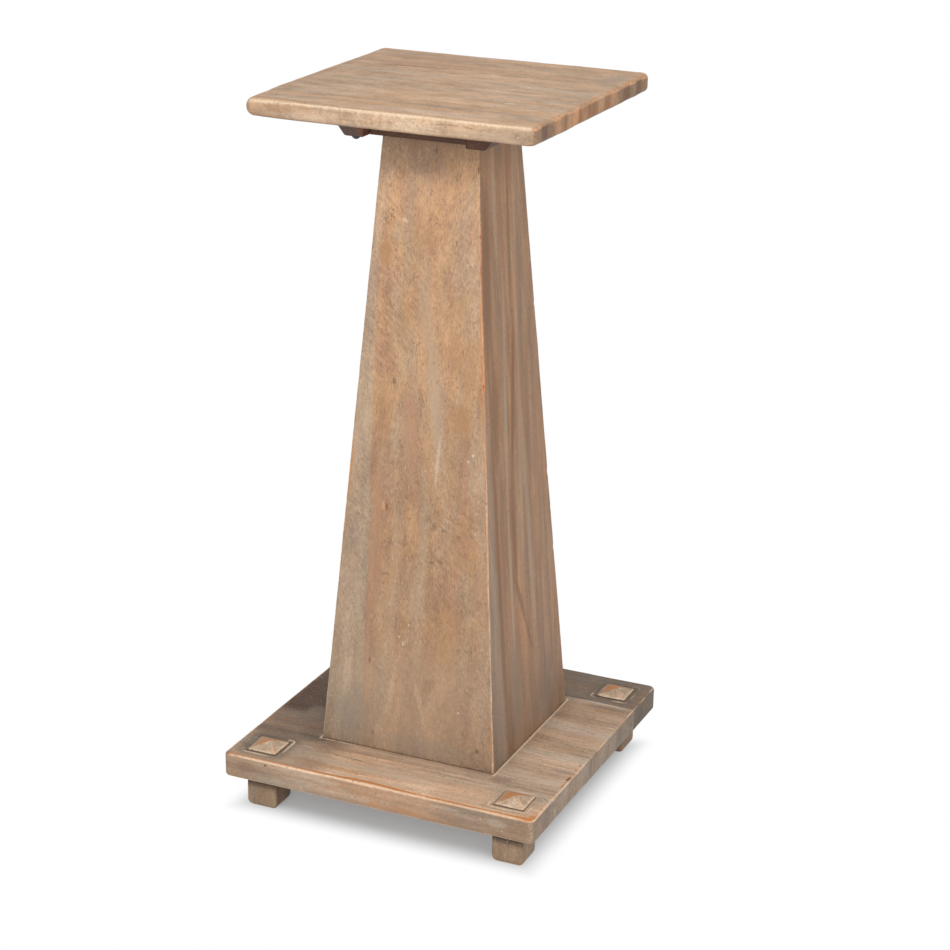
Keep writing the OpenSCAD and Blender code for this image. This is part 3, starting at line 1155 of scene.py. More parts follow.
    def relief(self, skin: Skin) -> tuple[Array, Masks]:
        """Wears the surface inwards: low waves, glue lines and chips on the arrises.

        Args:
            skin: The rounded surface.

        Returns:
            The worn points, and the masks for the finish.
        """
        points, edge = skin.points, np.abs(skin.upper)
        depth = self.wave_depth * swell(points, (70, 22, 40), self.seed + 3)
        groove = self.seam_depth * (0.6 + 0.4 * lattice_noise(points, (30, LONG, LONG), self.seed + 9))
        for seam in self.seams:
            depth += groove * bump(points[:, 1], seam, 0.7 * MM) * (edge > 0.9)
        pitted = smooth(layered_noise(points, (7, 7, 7), self.seed + 17), 0.30, 0.62)
        chips = pitted * bump(edge, 0.5, 0.28) * self.chip_places(*skin.places(), skin.upper)
        depth += self.chip_depth * chips
        return points - skin.normals * depth[:, None], self.masks(skin, chips)

    @abstractmethod
    def chip_places(self, x: Array, y: Array, upper: Array) -> Array:
        """Where the rim is chipped, from 0 to 1, by the place in millimetres."""

    @abstractmethod
    def masks(self, skin: Skin, chips: Array) -> Masks:
        """Masks of rubbed and dirty places for the finish."""


@dataclass
class TopBoard(Slab):
    """The square top board, pale along its front edge and chipped on its right one."""

    def rim_wear(self, x: Array, y: Array) -> Array:
        """Rounder towards the front left corner, where it is nearly a bullnose."""
        return super().rim_wear(x, y) + 0.95 * halo(x + self.half, y + self.half, 35 * MM)

    def chip_places(self, x: Array, y: Array, upper: Array) -> Array:
        """Chipped along the middle of the right upper edge."""
        right = smooth(x, self.half / MM - 14, self.half / MM - 6) * (upper > 0)
        return 0.2 + right * (0.25 + 1.1 * bump(y, 20, 60))

    def masks(self, skin: Skin, chips: Array) -> Masks:
        """Cream front arris with orange in it, orange right arris, patchy brown right end, painted shade
        underneath.

        Each mask is a sum of bells and steps, placed in millimetres along X and Y, and round
        the edge by the skin's upper number.

        Args:
            skin: The rounded surface.
            chips: How chipped each place is.

        Returns:
            The masks.
        """
        points, upper, edge = skin.points, skin.upper, np.abs(skin.upper)
        x, y = skin.places()
        out_x, out_y = skin.outward.T
        front, right = smooth(-out_y, 0.6, 0.9), smooth(out_x, 0.6, 0.9)
        back_left = smooth(out_y - out_x, 0.6, 0.9)
        along = lattice_noise(points, (16, 16, LONG), seed=41)
        wide = lattice_noise(points, (50, 50, LONG), seed=42)
        patches = lattice_noise(points, (LONG, 13, LONG), seed=45)
        patches += 0.5 * lattice_noise(points, (LONG, 5, LONG), seed=46)
        flat = smooth(upper, 0.9, 1.0)
        side = smooth(0.45 - edge, 0.0, 0.3)
        end = smooth(np.abs(out_x), 0.6, 0.9) * smooth(0.50 - edge, 0.0, 0.25)
        ends_dark = smooth(np.abs(y + 20), 45, 110)
        lower_arris = bump(upper, -0.4, 0.3) * front

        # Painted shade on the lower half of the rounded edges and on the underside
        shade = 0.35 * smooth(upper, -0.2, -0.6)
        shade += end * (0.02 + 0.22 * smooth(patches, -0.1, 0.4) + 0.42 * ends_dark)
        shade += flat * (0.07 * smooth(-x, 40, 90) + 0.04 * smooth(y, 60, 110))
        shade += side * front * 0.15 * smooth(x, 70, 130)
        rust = bump(upper, 0.72, 0.2) * (
            front * smooth(wide + 0.4 * along, 0.05, 0.5) * 0.6 + right * (0.55 + 0.35 * along)
            + back_left * 0.25
        )
        rust += lower_arris * 0.38 * (0.7 + 0.3 * wide)
        rust += end * (0.46 * smooth(wide, -0.6, 0.3) + 0.02) * (1 - 0.35 * ends_dark)
        peach = end * 0.68 * smooth(-patches, -0.1, 0.5) * (0.45 + 0.55 * bump(y, -20, 80))
        peach += lower_arris * 0.55 * (0.6 + 0.4 * along)
        peach += bump(upper, 0.2, 0.2) * 0.45 * front * (0.5 + 0.5 * wide)
        peach += bump(upper, 0.30, 0.16) * right * 0.62
        cream = front * (0.75 + 0.25 * along) + right * 0.45 * smooth(along, 0.1, 0.7)
        cream = cream * bump(upper, 0.45, 0.22)
        cream += side * front * 0.58 * bump(x, 15, 80) * (0.8 + 0.3 * along)
        return {
            "grey": flat * 0.16 * bump(x, 115, 40) * bump(y, 50, 75),
            "shade": shade,
            "stain": end * 0.75 * smooth(patches, 0.1, 0.6),
            "peach": peach,
            "rust": rust,
            "cream": cream,
            "chip": chips,
        }

    def build(self) -> None:
        """Makes the board and dresses it."""
        skin = self.surface()
        piece = make_piece("top_board_worn", [skin.grid.quads], *self.relief(skin))
        install(piece, self.node, TOP_FINISH.material())


@dataclass
class BaseBoard(Slab):
    """The square base board, with a worn square hole at each post and a rubbed rim.

    Attributes:
        hole_half: Half the width of a post's hole, in metres.
        hole_at: Distance of each hole's middle from the board's middle, along X and Y.
        rim_depth: How deep the worn rim of a hole dips, in metres.
        rim_width: How far out from the hole the rim is worn, in metres.
        column_half: Half the width of the column's foot, in metres.
    """

    hole_half: float = 0.0
    hole_at: float = 0.0
    rim_depth: float = 0.5 * MM
    rim_width: float = 4.2 * MM
    column_half: float = 0.0

    def hole_distance(self, x: Array, y: Array) -> Array:
        """Distance outside the nearest hole's square, round its corners, below zero inside it."""
        dx = np.abs(np.abs(x) - self.hole_at) - self.hole_half
        dy = np.abs(np.abs(y) - self.hole_at) - self.hole_half
        return np.minimum(np.maximum(dx, dy), 0.0) + np.hypot(np.maximum(dx, 0.0), np.maximum(dy, 0.0))

    def chip_places(self, x: Array, y: Array, upper: Array) -> Array:
        """Pitted all along the right upper edge, and a little elsewhere."""
        right = smooth(x, self.half / MM - 12, self.half / MM - 5) * (upper > 0)
        return 0.25 + right * (0.55 + 0.5 * bump(y, -30, 60))

    def masks(self, skin: Skin, chips: Array) -> Masks:
        """Orange and cream double line along the front, cream and pitted right rim, painted shade by the
        column.

        Each mask is a sum of bells and steps, placed in millimetres along X and Y, from the rim,
        from the column's foot and from the holes, and round the edge by the skin's upper number.

        Args:
            skin: The rounded surface.
            chips: How chipped each place is.

        Returns:
            The masks.
        """
        points, upper, edge = skin.points, skin.upper, np.abs(skin.upper)
        x, y = skin.places()
        ring, half = skin.inset / MM, self.half / MM
        out_x, out_y = skin.outward.T
        front, right, left, back = (smooth(way, 0.55, 0.9) for way in (-out_y, out_x, -out_x, out_y))
        along = lattice_noise(points, (14, 14, LONG), seed=61)
        wide = lattice_noise(points, (48, 48, LONG), seed=62)
        fine = lattice_noise(points, (4, 3, LONG), seed=67)
        flat = smooth(upper, 0.9, 1.0)
        sides = smooth(0.5 - edge, 0.0, 0.3)
        patch = bump(x, -10, 30)
        left_rear = flat * smooth(-x, 75, 110) * smooth(y, -128, -82)

        # The rim: an orange line, a cream arris, pits on the right and dirt on the left corner
        rim_line = bump(ring, self.edge_r / MM + 0.8 + 2.6 * patch, 1.9) * (upper > 0.55)
        rust = rim_line * front * (0.85 + 0.25 * wide + 0.50 * bump(x, -20, 70))
        rust += bump(upper, 0.82, 0.2) * (right * (0.15 + 0.35 * along) + left * 0.12 + back * 0.3)
        rust += 1.1 * halo(x - half, y + half, 14) * smooth(upper, 0.1, 0.5)
        rust += bump(upper, -0.4, 0.3) * front * 0.25 * (1 + wide)
        rust += 0.9 * right * bump(ring, 4.2, 1.3) * bump(y, -90, 62) * smooth(fine, -0.35, 0.2)
        # The rust in the left rear corner warms the column's painted shadow there
        rust += sides * front * 0.36 * bump(x, 5, 100) + 0.28 * left_rear
        paler = 0.15 + 0.31 * smooth(x, -110, -40)
        cream = bump(upper, 0.55, 0.13) * (front * (paler + 0.3 * along) + right * (0.52 + along))
        cream += 0.55 * halo(x - half, y + half, 7) * (edge < 0.5)
        stain = 0.9 * halo(x + half, y + half, 12) * smooth(upper, 0.1, 0.5)
        chips = chips + 0.75 * bump(upper, 0.6, 0.3) * halo(x + half, y + half, 18)
        chips += 1.15 * right * bump(ring, 3.4, 1.3) * bump(y, -62, 52) * smooth(fine, 0.0, 0.4)

        # The faces: painted shade round the column's foot, the column's painted shadow in the left rear
        # corner, and darker along the front
        gap = np.maximum(np.abs(x), np.abs(y)) - self.column_half / MM
        shade = flat * 0.22 * np.exp(-np.maximum(gap - 2, 0) / 12)
        shade += left_rear * 1.06 * (0.50 + 0.10 * wide + 0.34 * smooth(y, -65, -40))
        front_strip = flat * smooth(y, -92, -104)
        shade += front_strip * (0.40 * smooth(-x, 50, 85) + 0.12 * smooth(x, 55, 80))
        front_shade = 0.40 + 0.17 * smooth(x, 50, 90) + 0.10 * smooth(-x, 100, 130)
        front_shade += 0.03 * bump(x, -25, 25)
        side_shade = 0.19 + 0.28 * smooth(-y, 110, 140) - 0.12 * smooth(y, 104, 112)
        shade += sides * (front * front_shade + (1 - front) * side_shade)
        grey = flat * (0.06 + 0.14 * smooth(np.abs(y) + np.abs(x), 180, 300)) + sides * right * 0.48
        grey += flat * front * 0.6 * patch * bump(ring, 3.6, 2.0)

        # The filler round the column's foot, clearest on the right
        on_right = smooth(x, self.column_half / MM - 2, self.column_half / MM)
        on_front = (1 - on_right) * (0.75 - 0.55 * smooth(x, -85, -20))
        cream += flat * bump(gap, 1.6, 1.3) * (0.95 * on_right + on_front + 0.25 * along)

        # The holes: painted shade in the gap, a cream line round it and a dirty halo, darker on the left
        rim = self.hole_distance(points[:, 0], points[:, 1]) / MM
        hole = self.hole_at / MM
        near = smooth(np.maximum(x - hole * np.sign(x), hole * np.sign(y) - y), 8, 16)
        left_peg = smooth(-x, 0, 60)
        dirt = flat * smooth(rim, 15, 2) * (0.6 + 0.4 * wide)
        soot = flat * bump(rim, 0.8, 2.0) * (0.16 - 0.12 * near)
        shade += dirt * (0.16 + 0.22 * left_peg)
        grey += dirt * (0.25 + 0.35 * left_peg)
        cream += flat * bump(rim, 3.8 + 1.2 * wide, 1.7) * (0.22 + 0.48 * near) * (0.8 + 0.9 * along)
        return {
            "grey": grey, "shade": shade, "soot": soot, "stain": stain, "rust": rust, "cream": cream,
            "chip": chips,
        }

    def hole_walls(self, grid: Lattice) -> Array:
        """Quads of the holes' walls, each from the upper face's rim to the lower face's.

        Args:
            grid: The board's lattice, whose faces are open inside the holes.

        Returns:
            The quads, facing into the holes.
        """
        nx, ny, nz = grid.shape
        number = {int(code): index for index, code in enumerate(grid.codes)}
        xs, ys = np.zeros(nx), np.zeros(ny)
        xs[grid.codes // (ny * nz)] = grid.x
        ys[grid.codes // nz % ny] = grid.y
        walls = []
        for sign_x, sign_y in itertools.product((-1, 1), repeat=2):
            i0, i1, j0, j1 = (
                int(np.abs(lines - (sign * self.hole_at + way * self.hole_half)).argmin())
                for lines, sign in ((xs, sign_x), (ys, sign_y)) for way in (-1, 1)
            )
            ring = (
                [(i, j0) for i in range(i0, i1)] + [(i1, j) for j in range(j0, j1)]
                + [(i, j1) for i in range(i1, i0, -1)] + [(i0, j) for j in range(j1, j0, -1)]
            )
            top, low = (
                np.array([number[(i * ny + j) * nz + level] for i, j in ring]) for level in (nz - 1, 0)
            )
            walls.append(np.stack([top, np.roll(top, -1), np.roll(low, -1), low], axis=1))
        return np.concatenate(walls)

    def build(self) -> None:
        """Makes the board with its holes and dresses it."""
        rim_gaps = np.array([0.0, 0.6, 1.3, 2.1, 3.0, 3.9, 4.8]) * MM
        foot_gaps = np.array([0.0, 0.8, 1.6, 2.4, 3.4]) * MM
        extra = [
            sign * (self.hole_at + side * (self.hole_half + gap))
            for sign in (-1, 1) for side in (-1, 1) for gap in rim_gaps
        ]
        extra += [sign * (self.column_half + gap) for sign in (-1, 1) for gap in foot_gaps]
        skin = self.surface(lambda x, y: self.hole_distance(x, y) > 0, extra)
        points, masks = self.relief(skin)
        away = np.maximum(self.hole_distance(skin.grid.x, skin.grid.y), 0.0)
        uneven = 1.0 + 0.35 * layered_noise(points, (9, 9, LONG), self.seed + 31, 2)
        drop = self.rim_depth * uneven * smooth(away, self.rim_width, 0.4 * MM)
        points[:, 2] -= np.where(skin.upper > 0.98, drop, 0.0)
        faces = [skin.grid.quads, self.hole_walls(skin.grid)]
        piece = make_piece("base_board_worn", faces, points, masks)
        install(piece, self.node, BASE_FINISH.material())


@dataclass
class ColumnBoard:
    """One mitred, tapered board of the hollow column.

    The surface is a box grid of three parameters: across, depth and height. Half the column's
    width at a height, less the depth, gives the board's reach at that depth, so its sides are
    the mitres. The last millimetres of the outer face bend round half of the column's arris.

    Attributes:
        node: The model's node.
        turn: Quarter turns from the front, about the column's axis.
        bottom_half: Half the column's width at its foot, in metres.
        top_half: Half the column's width at its head, in metres.
        wall: Thickness of the board, in metres.
        step: Grid spacing, in metres.
        finish: The wood.
        fade: How much darker it gets downwards, from 0 to 1, as painted shade where the light falls off.
        arris_r: Radius of the column's worn arrises, in metres.
        chip_depth: Depth of the chips in the arrises, in metres.
        wave_depth: Depth of the low waves in the outer face, in metres.
    """

    node: str
    turn: int
    bottom_half: float
    top_half: float
    wall: float
    step: float
    finish: WoodFinish
    fade: float = 0.0
    arris_r: float = 1.5 * MM
    chip_depth: float = 0.8 * MM
    wave_depth: float = 0.25 * MM

    def __post_init__(self) -> None:
        """Reads the board's height from its node."""
        low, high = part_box(self.node)
        self.low_z, self.high_z = low.z, high.z

    def half(self, z: Array) -> Array:
        """Half the column's width at a height: a straight line from foot to head."""
        share = (z - self.low_z) / (self.high_z - self.low_z)
        return self.bottom_half + (self.top_half - self.bottom_half) * share

    def corner_wear(self, z: Array, corner: int) -> tuple[Array, Array]:
        """Radius and chip depth of one arris of the column, the same for both its boards.

        Args:
            z: Heights.
            corner: Number of the arris, counted with the quarter turns.

        Returns:
            The radius in metres, and how chipped it is from 0 to 1.
        """
        line = np.stack([np.full(len(z), float(corner)), np.zeros(len(z)), z], axis=1)
        radius = self.arris_r * (1.0 + 0.5 * layered_noise(line, (LONG, LONG, 30), 71 + corner))
        chip = smooth(layered_noise(line, (LONG, LONG, 9), 83 + corner), 0.42, 0.75)
        if corner % 4 == 1:
            chip = np.maximum(chip, bump(z, 692 * MM, 5 * MM))
        return radius, chip

    def build(self) -> None:
        """Makes the board and dresses it."""
        edge = np.array([0.0, 0.35, 0.7, 1.1, 1.6, 2.4, 4.0]) * MM
        inner = np.linspace(-1.0, 1.0, round(1.5 * self.bottom_half / self.step) + 1)[1:-1]
        count, total = len(edge), 2 * len(edge) + len(inner)
        zs = spaced(self.low_z, self.high_z, self.step)
        grid = box_lattice(np.arange(total, dtype=float), np.array([0.0, 0.3, 1.0]), zs)
        z, depth, number = grid.z, grid.y * self.wall, grid.x.astype(int)
        half = self.half(z)
        left_gap = edge[np.clip(number, 0, count - 1)]
        right_gap = edge[np.clip(total - 1 - number, 0, count - 1)]
        middle = inner[np.clip(number - count, 0, len(inner) - 1)] * (half - edge[-1])
        outer_x = np.where(number >= total - count, half - right_gap, middle)
        outer_x = np.where(number < count, left_gap - half, outer_x)
        gap, side, skin = half - np.abs(outer_x), np.sign(outer_x), grid.y < HAIR

        wear = zip(self.corner_wear(z, self.turn), self.corner_wear(z, self.turn + 1))
        radius, chip = (np.where(outer_x < 0, left, right) for left, right in wear)
        bend = np.radians(45.0) * np.clip(1.0 - gap / radius, 0.0, 1.0)
        curved = skin & (gap < radius)
        round_x, round_y = radius * np.sin(bend), radius * np.cos(bend)
        x = np.where(curved, side * (half - radius + round_x), outer_x * (half - depth) / half)
        y = np.where(curved, radius - half - round_y, depth - half)
        chipped = self.chip_depth * bump(gap, 0.0, 1.5 * MM) * chip * skin
        x -= side * chipped
        flat_points = np.stack([x, np.full(len(x), float(self.turn)), z], axis=1)
        wave = self.wave_depth * swell(flat_points, (30, LONG, 120), 91)
        y += chipped + wave * smooth(gap, 0.5 * MM, 5 * MM) * skin

        turned = math.radians(90.0 * self.turn)
        cos, sin = round(math.cos(turned)), round(math.sin(turned))
        points = np.stack([x * cos - y * sin, x * sin + y * cos, z], axis=1)
        masks = self.masks(x, z, gap / MM, chip, skin, side)
        piece = make_piece(f"{self.node}_worn", [grid.quads], points, masks)
        install(piece, self.node, self.finish.material())

    def masks(self, x: Array, z: Array, gap: Array, chip: Array, skin: Array, side: Array) -> Masks:
        """Masks of the rubbed arrises, of grey and stain at the foot and the head, and of painted shade.

        Args:
            x: Place across the board, in metres.
            z: Height, in metres.
            gap: Distance from the nearer arris, in millimetres.
            chip: How chipped that arris is.
            skin: Whether the vertex is on the outer face.
            side: -1 on the board's left half, 1 on its right.

        Returns:
            The masks.
        """
        line = np.stack([side * 3.0 + self.turn, np.zeros(len(z)), z], axis=1)
        patch = np.stack([x, np.full(len(x), float(self.turn)), z], axis=1)
        along = layered_noise(line, (LONG, LONG, 22), seed=101)
        wide = lattice_noise(line, (LONG, LONG, 90), seed=103)
        cloud = layered_noise(patch, (35, LONG, 70), seed=107)
        up, down, z = (self.high_z - z) / MM, (z - self.low_z) / MM, z / MM
        # The arris between the front and the right side is the one rubbed barest
        bare_side = {0: (1 + side) / 2, 1: (1 - side) / 2}.get(self.turn, 0.0)
        arris = bump(gap, 0.0, 1.0) * skin
        peach = bump(gap, 0.8, 1.5) * skin * (0.55 + 0.3 * wide + 0.35 * along)
        rust = bump(gap, 2.0, 1.6) * skin * (0.35 + 0.35 * wide + 0.3 * along)
        rust += skin * bump(gap, 1.2, 1.2) * 0.75 * bump(z, 470, 60) * bare_side
        blood = skin * bump(gap, 0.6, 0.8) * 0.6 * bump(z, 575, 45) * bare_side * (1 + along)
        head, foot = smooth(up, 75, 20), smooth(down, 150, 0)
        is_front = 1.0 if self.turn == 0 else 0.4
        # Painted shadow of the top board on the head, strongest on the front, and a band of painted light
        # just below it
        shade = 0.38 * is_front * smooth(14 * cloud - up, -74, -38)
        shade -= 0.08 * is_front * bump(z, 648, 22)
        height = (self.high_z - self.low_z) / MM
        # Painted shade: darker downwards by fade, and darker where the column meets the base
        shade += self.fade * smooth(down, height - 100, 60) + 0.18 * np.exp(-down / 9)
        return {
            "grey": np.clip(0.20 * foot + 0.10 * head + 0.08 * cloud, 0, 1),
            "shade": shade,
            "stain": 0.12 * head + 0.12 * foot * (1.0 + cloud),
            "rust": rust,
            "peach": peach * (0.45 + 0.55 * bare_side),
            "cream": arris * (0.25 + 0.35 * smooth(z, 480, 300) + 0.45 * along),
            "chip": arris * chip * 1.1 + blood,
        }


@dataclass
class FootPost:
    """A foot with its post up through the base board and its low pointed head.

    The surface is a square ring with round corners carried up a profile: the profile gives the
    ring's half width, its corner radius, its height and how far it leans to the head's tip.

    Attributes:
        node: The model's node.
        signs: Side of the board, -1 or 1, along X and Y.
        lean: Place of the head's tip off the post's axis, in metres.
        board_top: Height of the base board's upper face, in metres.
        board_under: Height of the base board's underside, in metres.
        seed: Picks the wear.
        edge_r: Radius of the foot's lower edge, in metres.
        corner_r: Radius of the foot's upright edges, in metres.
        neck_r: Corner radius of the post and its head, in metres.
    """

    node: str
    signs: tuple[int, int]
    lean: tuple[float, float]
    board_top: float
    board_under: float
    seed: int
    edge_r: float = 8.0 * MM
    corner_r: float = 2.8 * MM
    neck_r: float = 2.0 * MM

    def profile(self) -> Array:
        """Rows of the profile: half width, corner radius, height, and share of the lean."""
        low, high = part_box(self.node)
        half, r, low_r = (high.x - low.x) / 2, self.edge_r, 1.5 * MM
        rows = [(0.25 * half, 0.08 * half, 0.0, 0.0), (0.55 * half, 0.15 * half, 0.0, 0.0)]
        for angle in np.radians([0, 15, 30, 45, 60, 75, 90]):
            out, rise = math.sin(angle), 1 - math.cos(angle)
            rows.append((half - r + r * out, low_r + (self.corner_r - low_r) * out, r * rise, 0.0))
        for z in np.linspace(1.4 * r, self.board_under - 1.5 * MM, 10):
            rows.append((half, self.corner_r, z, 0.0))
        neck = half - 0.15 * MM
        rows.append((half - 0.1 * MM, 2.4 * MM, self.board_under - 0.3 * MM, 0.0))
        for z in (self.board_under + 1.0 * MM, self.board_top - 3.0 * MM, self.board_top - 0.6 * MM):
            rows.append((neck, self.neck_r, z, 0.0))
        rows.append((neck - 0.25 * MM, self.neck_r, self.board_top + 0.3 * MM, 0.0))
        rise = high.z - self.board_top - 0.6 * MM
        for share in (0.04, 0.10, 0.18, 0.28, 0.38, 0.48, 0.58, 0.68, 0.77, 0.85, 0.91, 0.96):
            width = (neck - 0.4 * MM) * (1 - share)
            z = self.board_top + 0.45 * MM + rise * (1 - (1 - share) ** 1.12)
            rows.append((width, min(self.neck_r, 0.35 * width), z, share))
        return np.array(rows)

    def ring(self) -> tuple[Array, Array]:
        """Square ring of half width 1, counter-clockwise, with points close at its corners."""
        half_side = np.array([0.17, 0.33, 0.5, 0.65, 0.8, 0.9, 0.97])
        side = np.concatenate([[-1.0], -half_side[::-1], [0.0], half_side])
        one = np.ones_like(side)
        return np.concatenate([side, one, -side, -one]), np.concatenate([-one, side, one, -side])

    def build(self) -> None:
        """Makes the foot and dresses it."""
        low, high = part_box(self.node)
        axis = np.array([(low.x + high.x) / 2, (low.y + high.y) / 2])
        rows = self.profile()
        ring_x, ring_y = self.ring()
        levels, count = len(rows), len(ring_x)
        half, radius, z, lean = (rows[:, i][:, None] for i in range(4))
        x, y = ring_x[None, :] * half, ring_y[None, :] * half
        inner_x, inner_y = (np.clip(v, radius - half, half - radius) for v in (x, y))
        dx, dy = x - inner_x, y - inner_y
        length = np.hypot(dx, dy)
        x = inner_x + dx / length * radius + lean * self.lean[0]
        y = inner_y + dy / length * radius + lean * self.lean[1]
        grid = np.stack([x + axis[0], y + axis[1], np.broadcast_to(z, x.shape)], axis=2).reshape(-1, 3)

        worn = swell(grid, (9, 9, 14), self.seed)
        from_axis = grid[:, :2] - axis
        shrink = 0.35 * MM * worn / np.maximum(np.hypot(*from_axis.T), 4 * MM)
        grid[:, :2] -= from_axis * shrink[:, None]
        grid[:, 2] -= np.where(grid[:, 2] > self.board_top, 0.7 * MM * worn, 0.0)
        tip = [axis[0] + self.lean[0], axis[1] + self.lean[1], high.z - 0.5 * MM]
        points = np.concatenate([grid, [[axis[0], axis[1], 0.0], tip]])

        i, j = np.divmod(np.arange((levels - 1) * count), count)
        after = (j + 1) % count
        low_row, high_row = i * count, (i + 1) * count
        quads = np.stack([low_row + j, low_row + after, high_row + after, high_row + j], axis=1)
        j = np.arange(count)
        after, last = (j + 1) % count, (levels - 1) * count
        caps = np.concatenate([
            np.stack([after, j, np.full(count, len(grid))], axis=1),
            np.stack([last + j, last + after, np.full(count, len(grid) + 1)], axis=1),
        ])
        share = np.concatenate([np.broadcast_to(lean, x.shape).ravel(), [0.0, 1.0]])
        around = (np.concatenate([np.tile(part, levels), [0.0, 0.0]]) for part in (ring_x, ring_y))
        piece = make_piece(f"{self.node}_worn", [quads, caps], points, self.masks(points, share, *around))
        finish = replace(FOOT_FINISH, name=f"limed_{self.node}", seed=float(self.seed))
        install(piece, self.node, finish.material())

    def masks(self, points: Array, share: Array, ring_x: Array, ring_y: Array) -> Masks:
        """Masks: orange far slopes and ridges on the head, rubbed upright edges on the foot, painted
        shade under the base board.

        Args:
            points: The vertices.
            share: How far up the head's slopes each lies, 0 below the head.
            ring_x: Place on the square ring along X, -1 to 1.
            ring_y: Place on the square ring along Y, -1 to 1.

        Returns:
            The masks.
        """
        z = points[:, 2] / MM
        top, under = self.board_top / MM, self.board_under / MM
        along = layered_noise(points, (9, 9, 9), self.seed + 5, 2)
        head = smooth(z, top - 0.2, top + 0.5)
        foot = 1 - head
        ridge = smooth(np.minimum(np.abs(ring_x), np.abs(ring_y)), 0.82, 0.97)
        near_ridge = smooth(np.minimum(ring_x, -ring_y), 0.78, 0.97)
        far = np.maximum(smooth(-ring_x, 0.95, 1.0), smooth(ring_y, 0.95, 1.0))
        faces_front = smooth(-ring_y, 0.9, 1.0)
        faces_in = smooth(-ring_x * self.signs[0], 0.9, 1.0) * (1 - faces_front)
        rust = head * (0.75 + 0.35 * along) * far * smooth(share, 0.02, 0.4)
        rust += head * 0.45 * ridge * (1 - far) * (1 - near_ridge)
        rust += foot * ridge * (0.30 + 0.3 * along) + bump(z, 2, 4) * 0.36 * (1 + along)
        cream = head * (1 - far) * (0.42 + 0.35 * along + 0.35 * smooth(share, 0.25, 0.0))
        cream += foot * ridge * smooth(along, 0.1, 0.5) * 0.5
        # Painted shade at the foot's top under the base board, most on its front, and on its inward face;
        # the soot mask darkens it further just under the board, and the head is lightened
        shade = 0.77 * smooth(z, under - 19, under - 10) * (0.25 + 0.75 * faces_front)
        return {
            "grey": 0.2 + 0.1 * head,
            "shade": foot * (shade + 0.30 * faces_in) - 0.35 * head,
            "soot": foot * 0.35 * smooth(z, under - 9, under),
            "stain": 0.15 * foot,
            "rust": rust,
            "peach": 0.95 * head * near_ridge,
            "cream": cream,
        }


@dataclass
class Cleat:
    """A dark cleat under the top board, with softened and slightly crooked edges. Its dark colour is
    partly painted shade.

    The surface is the box grid of the node's own section: each vertex of the plain box is moved
    to the section's outline, and the edges are rounded by easing the last millimetres inwards.

    Attributes:
        node: The model's node.
        section: Function from (across, up), each 0 to 1, to the place in the section.
        lengthwise: Which axis the cleat runs along, 0 for X or 1 for Y.
        seed: Picks the wear.
        dusty: How grey it is, from 0 to 1.
        bare: How rubbed it is along the column, from 0 to 1.
        edge_r: Radius of its edges, in metres.
        rough_depth: Depth of its uneven faces, in metres.
    """

    node: str
    section: Callable[[Array, Array], tuple[Array, Array]]
    lengthwise: int
    seed: int
    dusty: float = 0.08
    bare: float = 0.0
    edge_r: float = 1.6 * MM
    rough_depth: float = 0.35 * MM

    def build(self, material: bpy.types.Material) -> None:
        """Makes the cleat and dresses it in the finish that it shares with others."""
        low, high = (corner[self.lengthwise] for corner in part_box(self.node))
        rim = self.edge_r * np.array([0.3, 0.7, 1.2])
        along = spaced(low, high, 3.0 * MM, [*(low + rim), *(high - rim)])
        unit = np.unique(np.concatenate([np.linspace(0, 1, 13), [0.03, 0.97]]))
        grid = box_lattice(along, unit, unit)
        across, up = self.section(grid.y, grid.z)
        near_side = np.minimum(grid.y, 1 - grid.y) < HAIR
        near_level = np.minimum(grid.z, 1 - grid.z) < HAIR
        near_end = np.minimum(grid.x - low, high - grid.x) < HAIR
        touching = near_side.astype(int) + near_level + near_end
        spot = np.stack([grid.x, across, up], axis=1)
        inward = self.edge_r * np.choose(touching, [0.0, 0.0, 0.30, 0.55])
        inward += self.rough_depth * swell(spot, (16, 7, 7), self.seed)

        def drawn(place: Array, centre: float, where: Array) -> Array:
            """The place moved inwards, towards the centre, where the vertex lies on that side."""
            return place - np.sign(place - centre) * inward * where

        top = grid.z > 1 - HAIR
        run = drawn(grid.x, (low + high) / 2, near_end)
        across, up = (
            drawn(across, (across.min() + across.max()) / 2, near_side),
            drawn(up, (up.min() + up.max()) / 2, near_level & ~top),
        )
        columns = [run, across, up] if self.lengthwise == 0 else [across, run, up]
        points = np.stack(columns, axis=1)
        mirrored = across[grid.y.argmax()] < across[grid.y.argmin()]
        quads = grid.quads[:, ::-1] if mirrored != (self.lengthwise == 1) else grid.quads
        cloud = layered_noise(points, (22, 22, 10), self.seed + 3)
        masks = {
            "grey": self.dusty * (1.0 + cloud),
            "soot": np.full(len(run), 0.1),
            "rust": 0.25 * smooth(cloud, 0.1, 0.6) + self.bare * smooth(grid.y, 0.45, 0.15),
            "cream": 0.25 * (touching >= 2) * (cloud > 0),
        }
        piece = make_piece(f"{self.node}_worn", [quads], points, masks)
        install(piece, self.node, material)


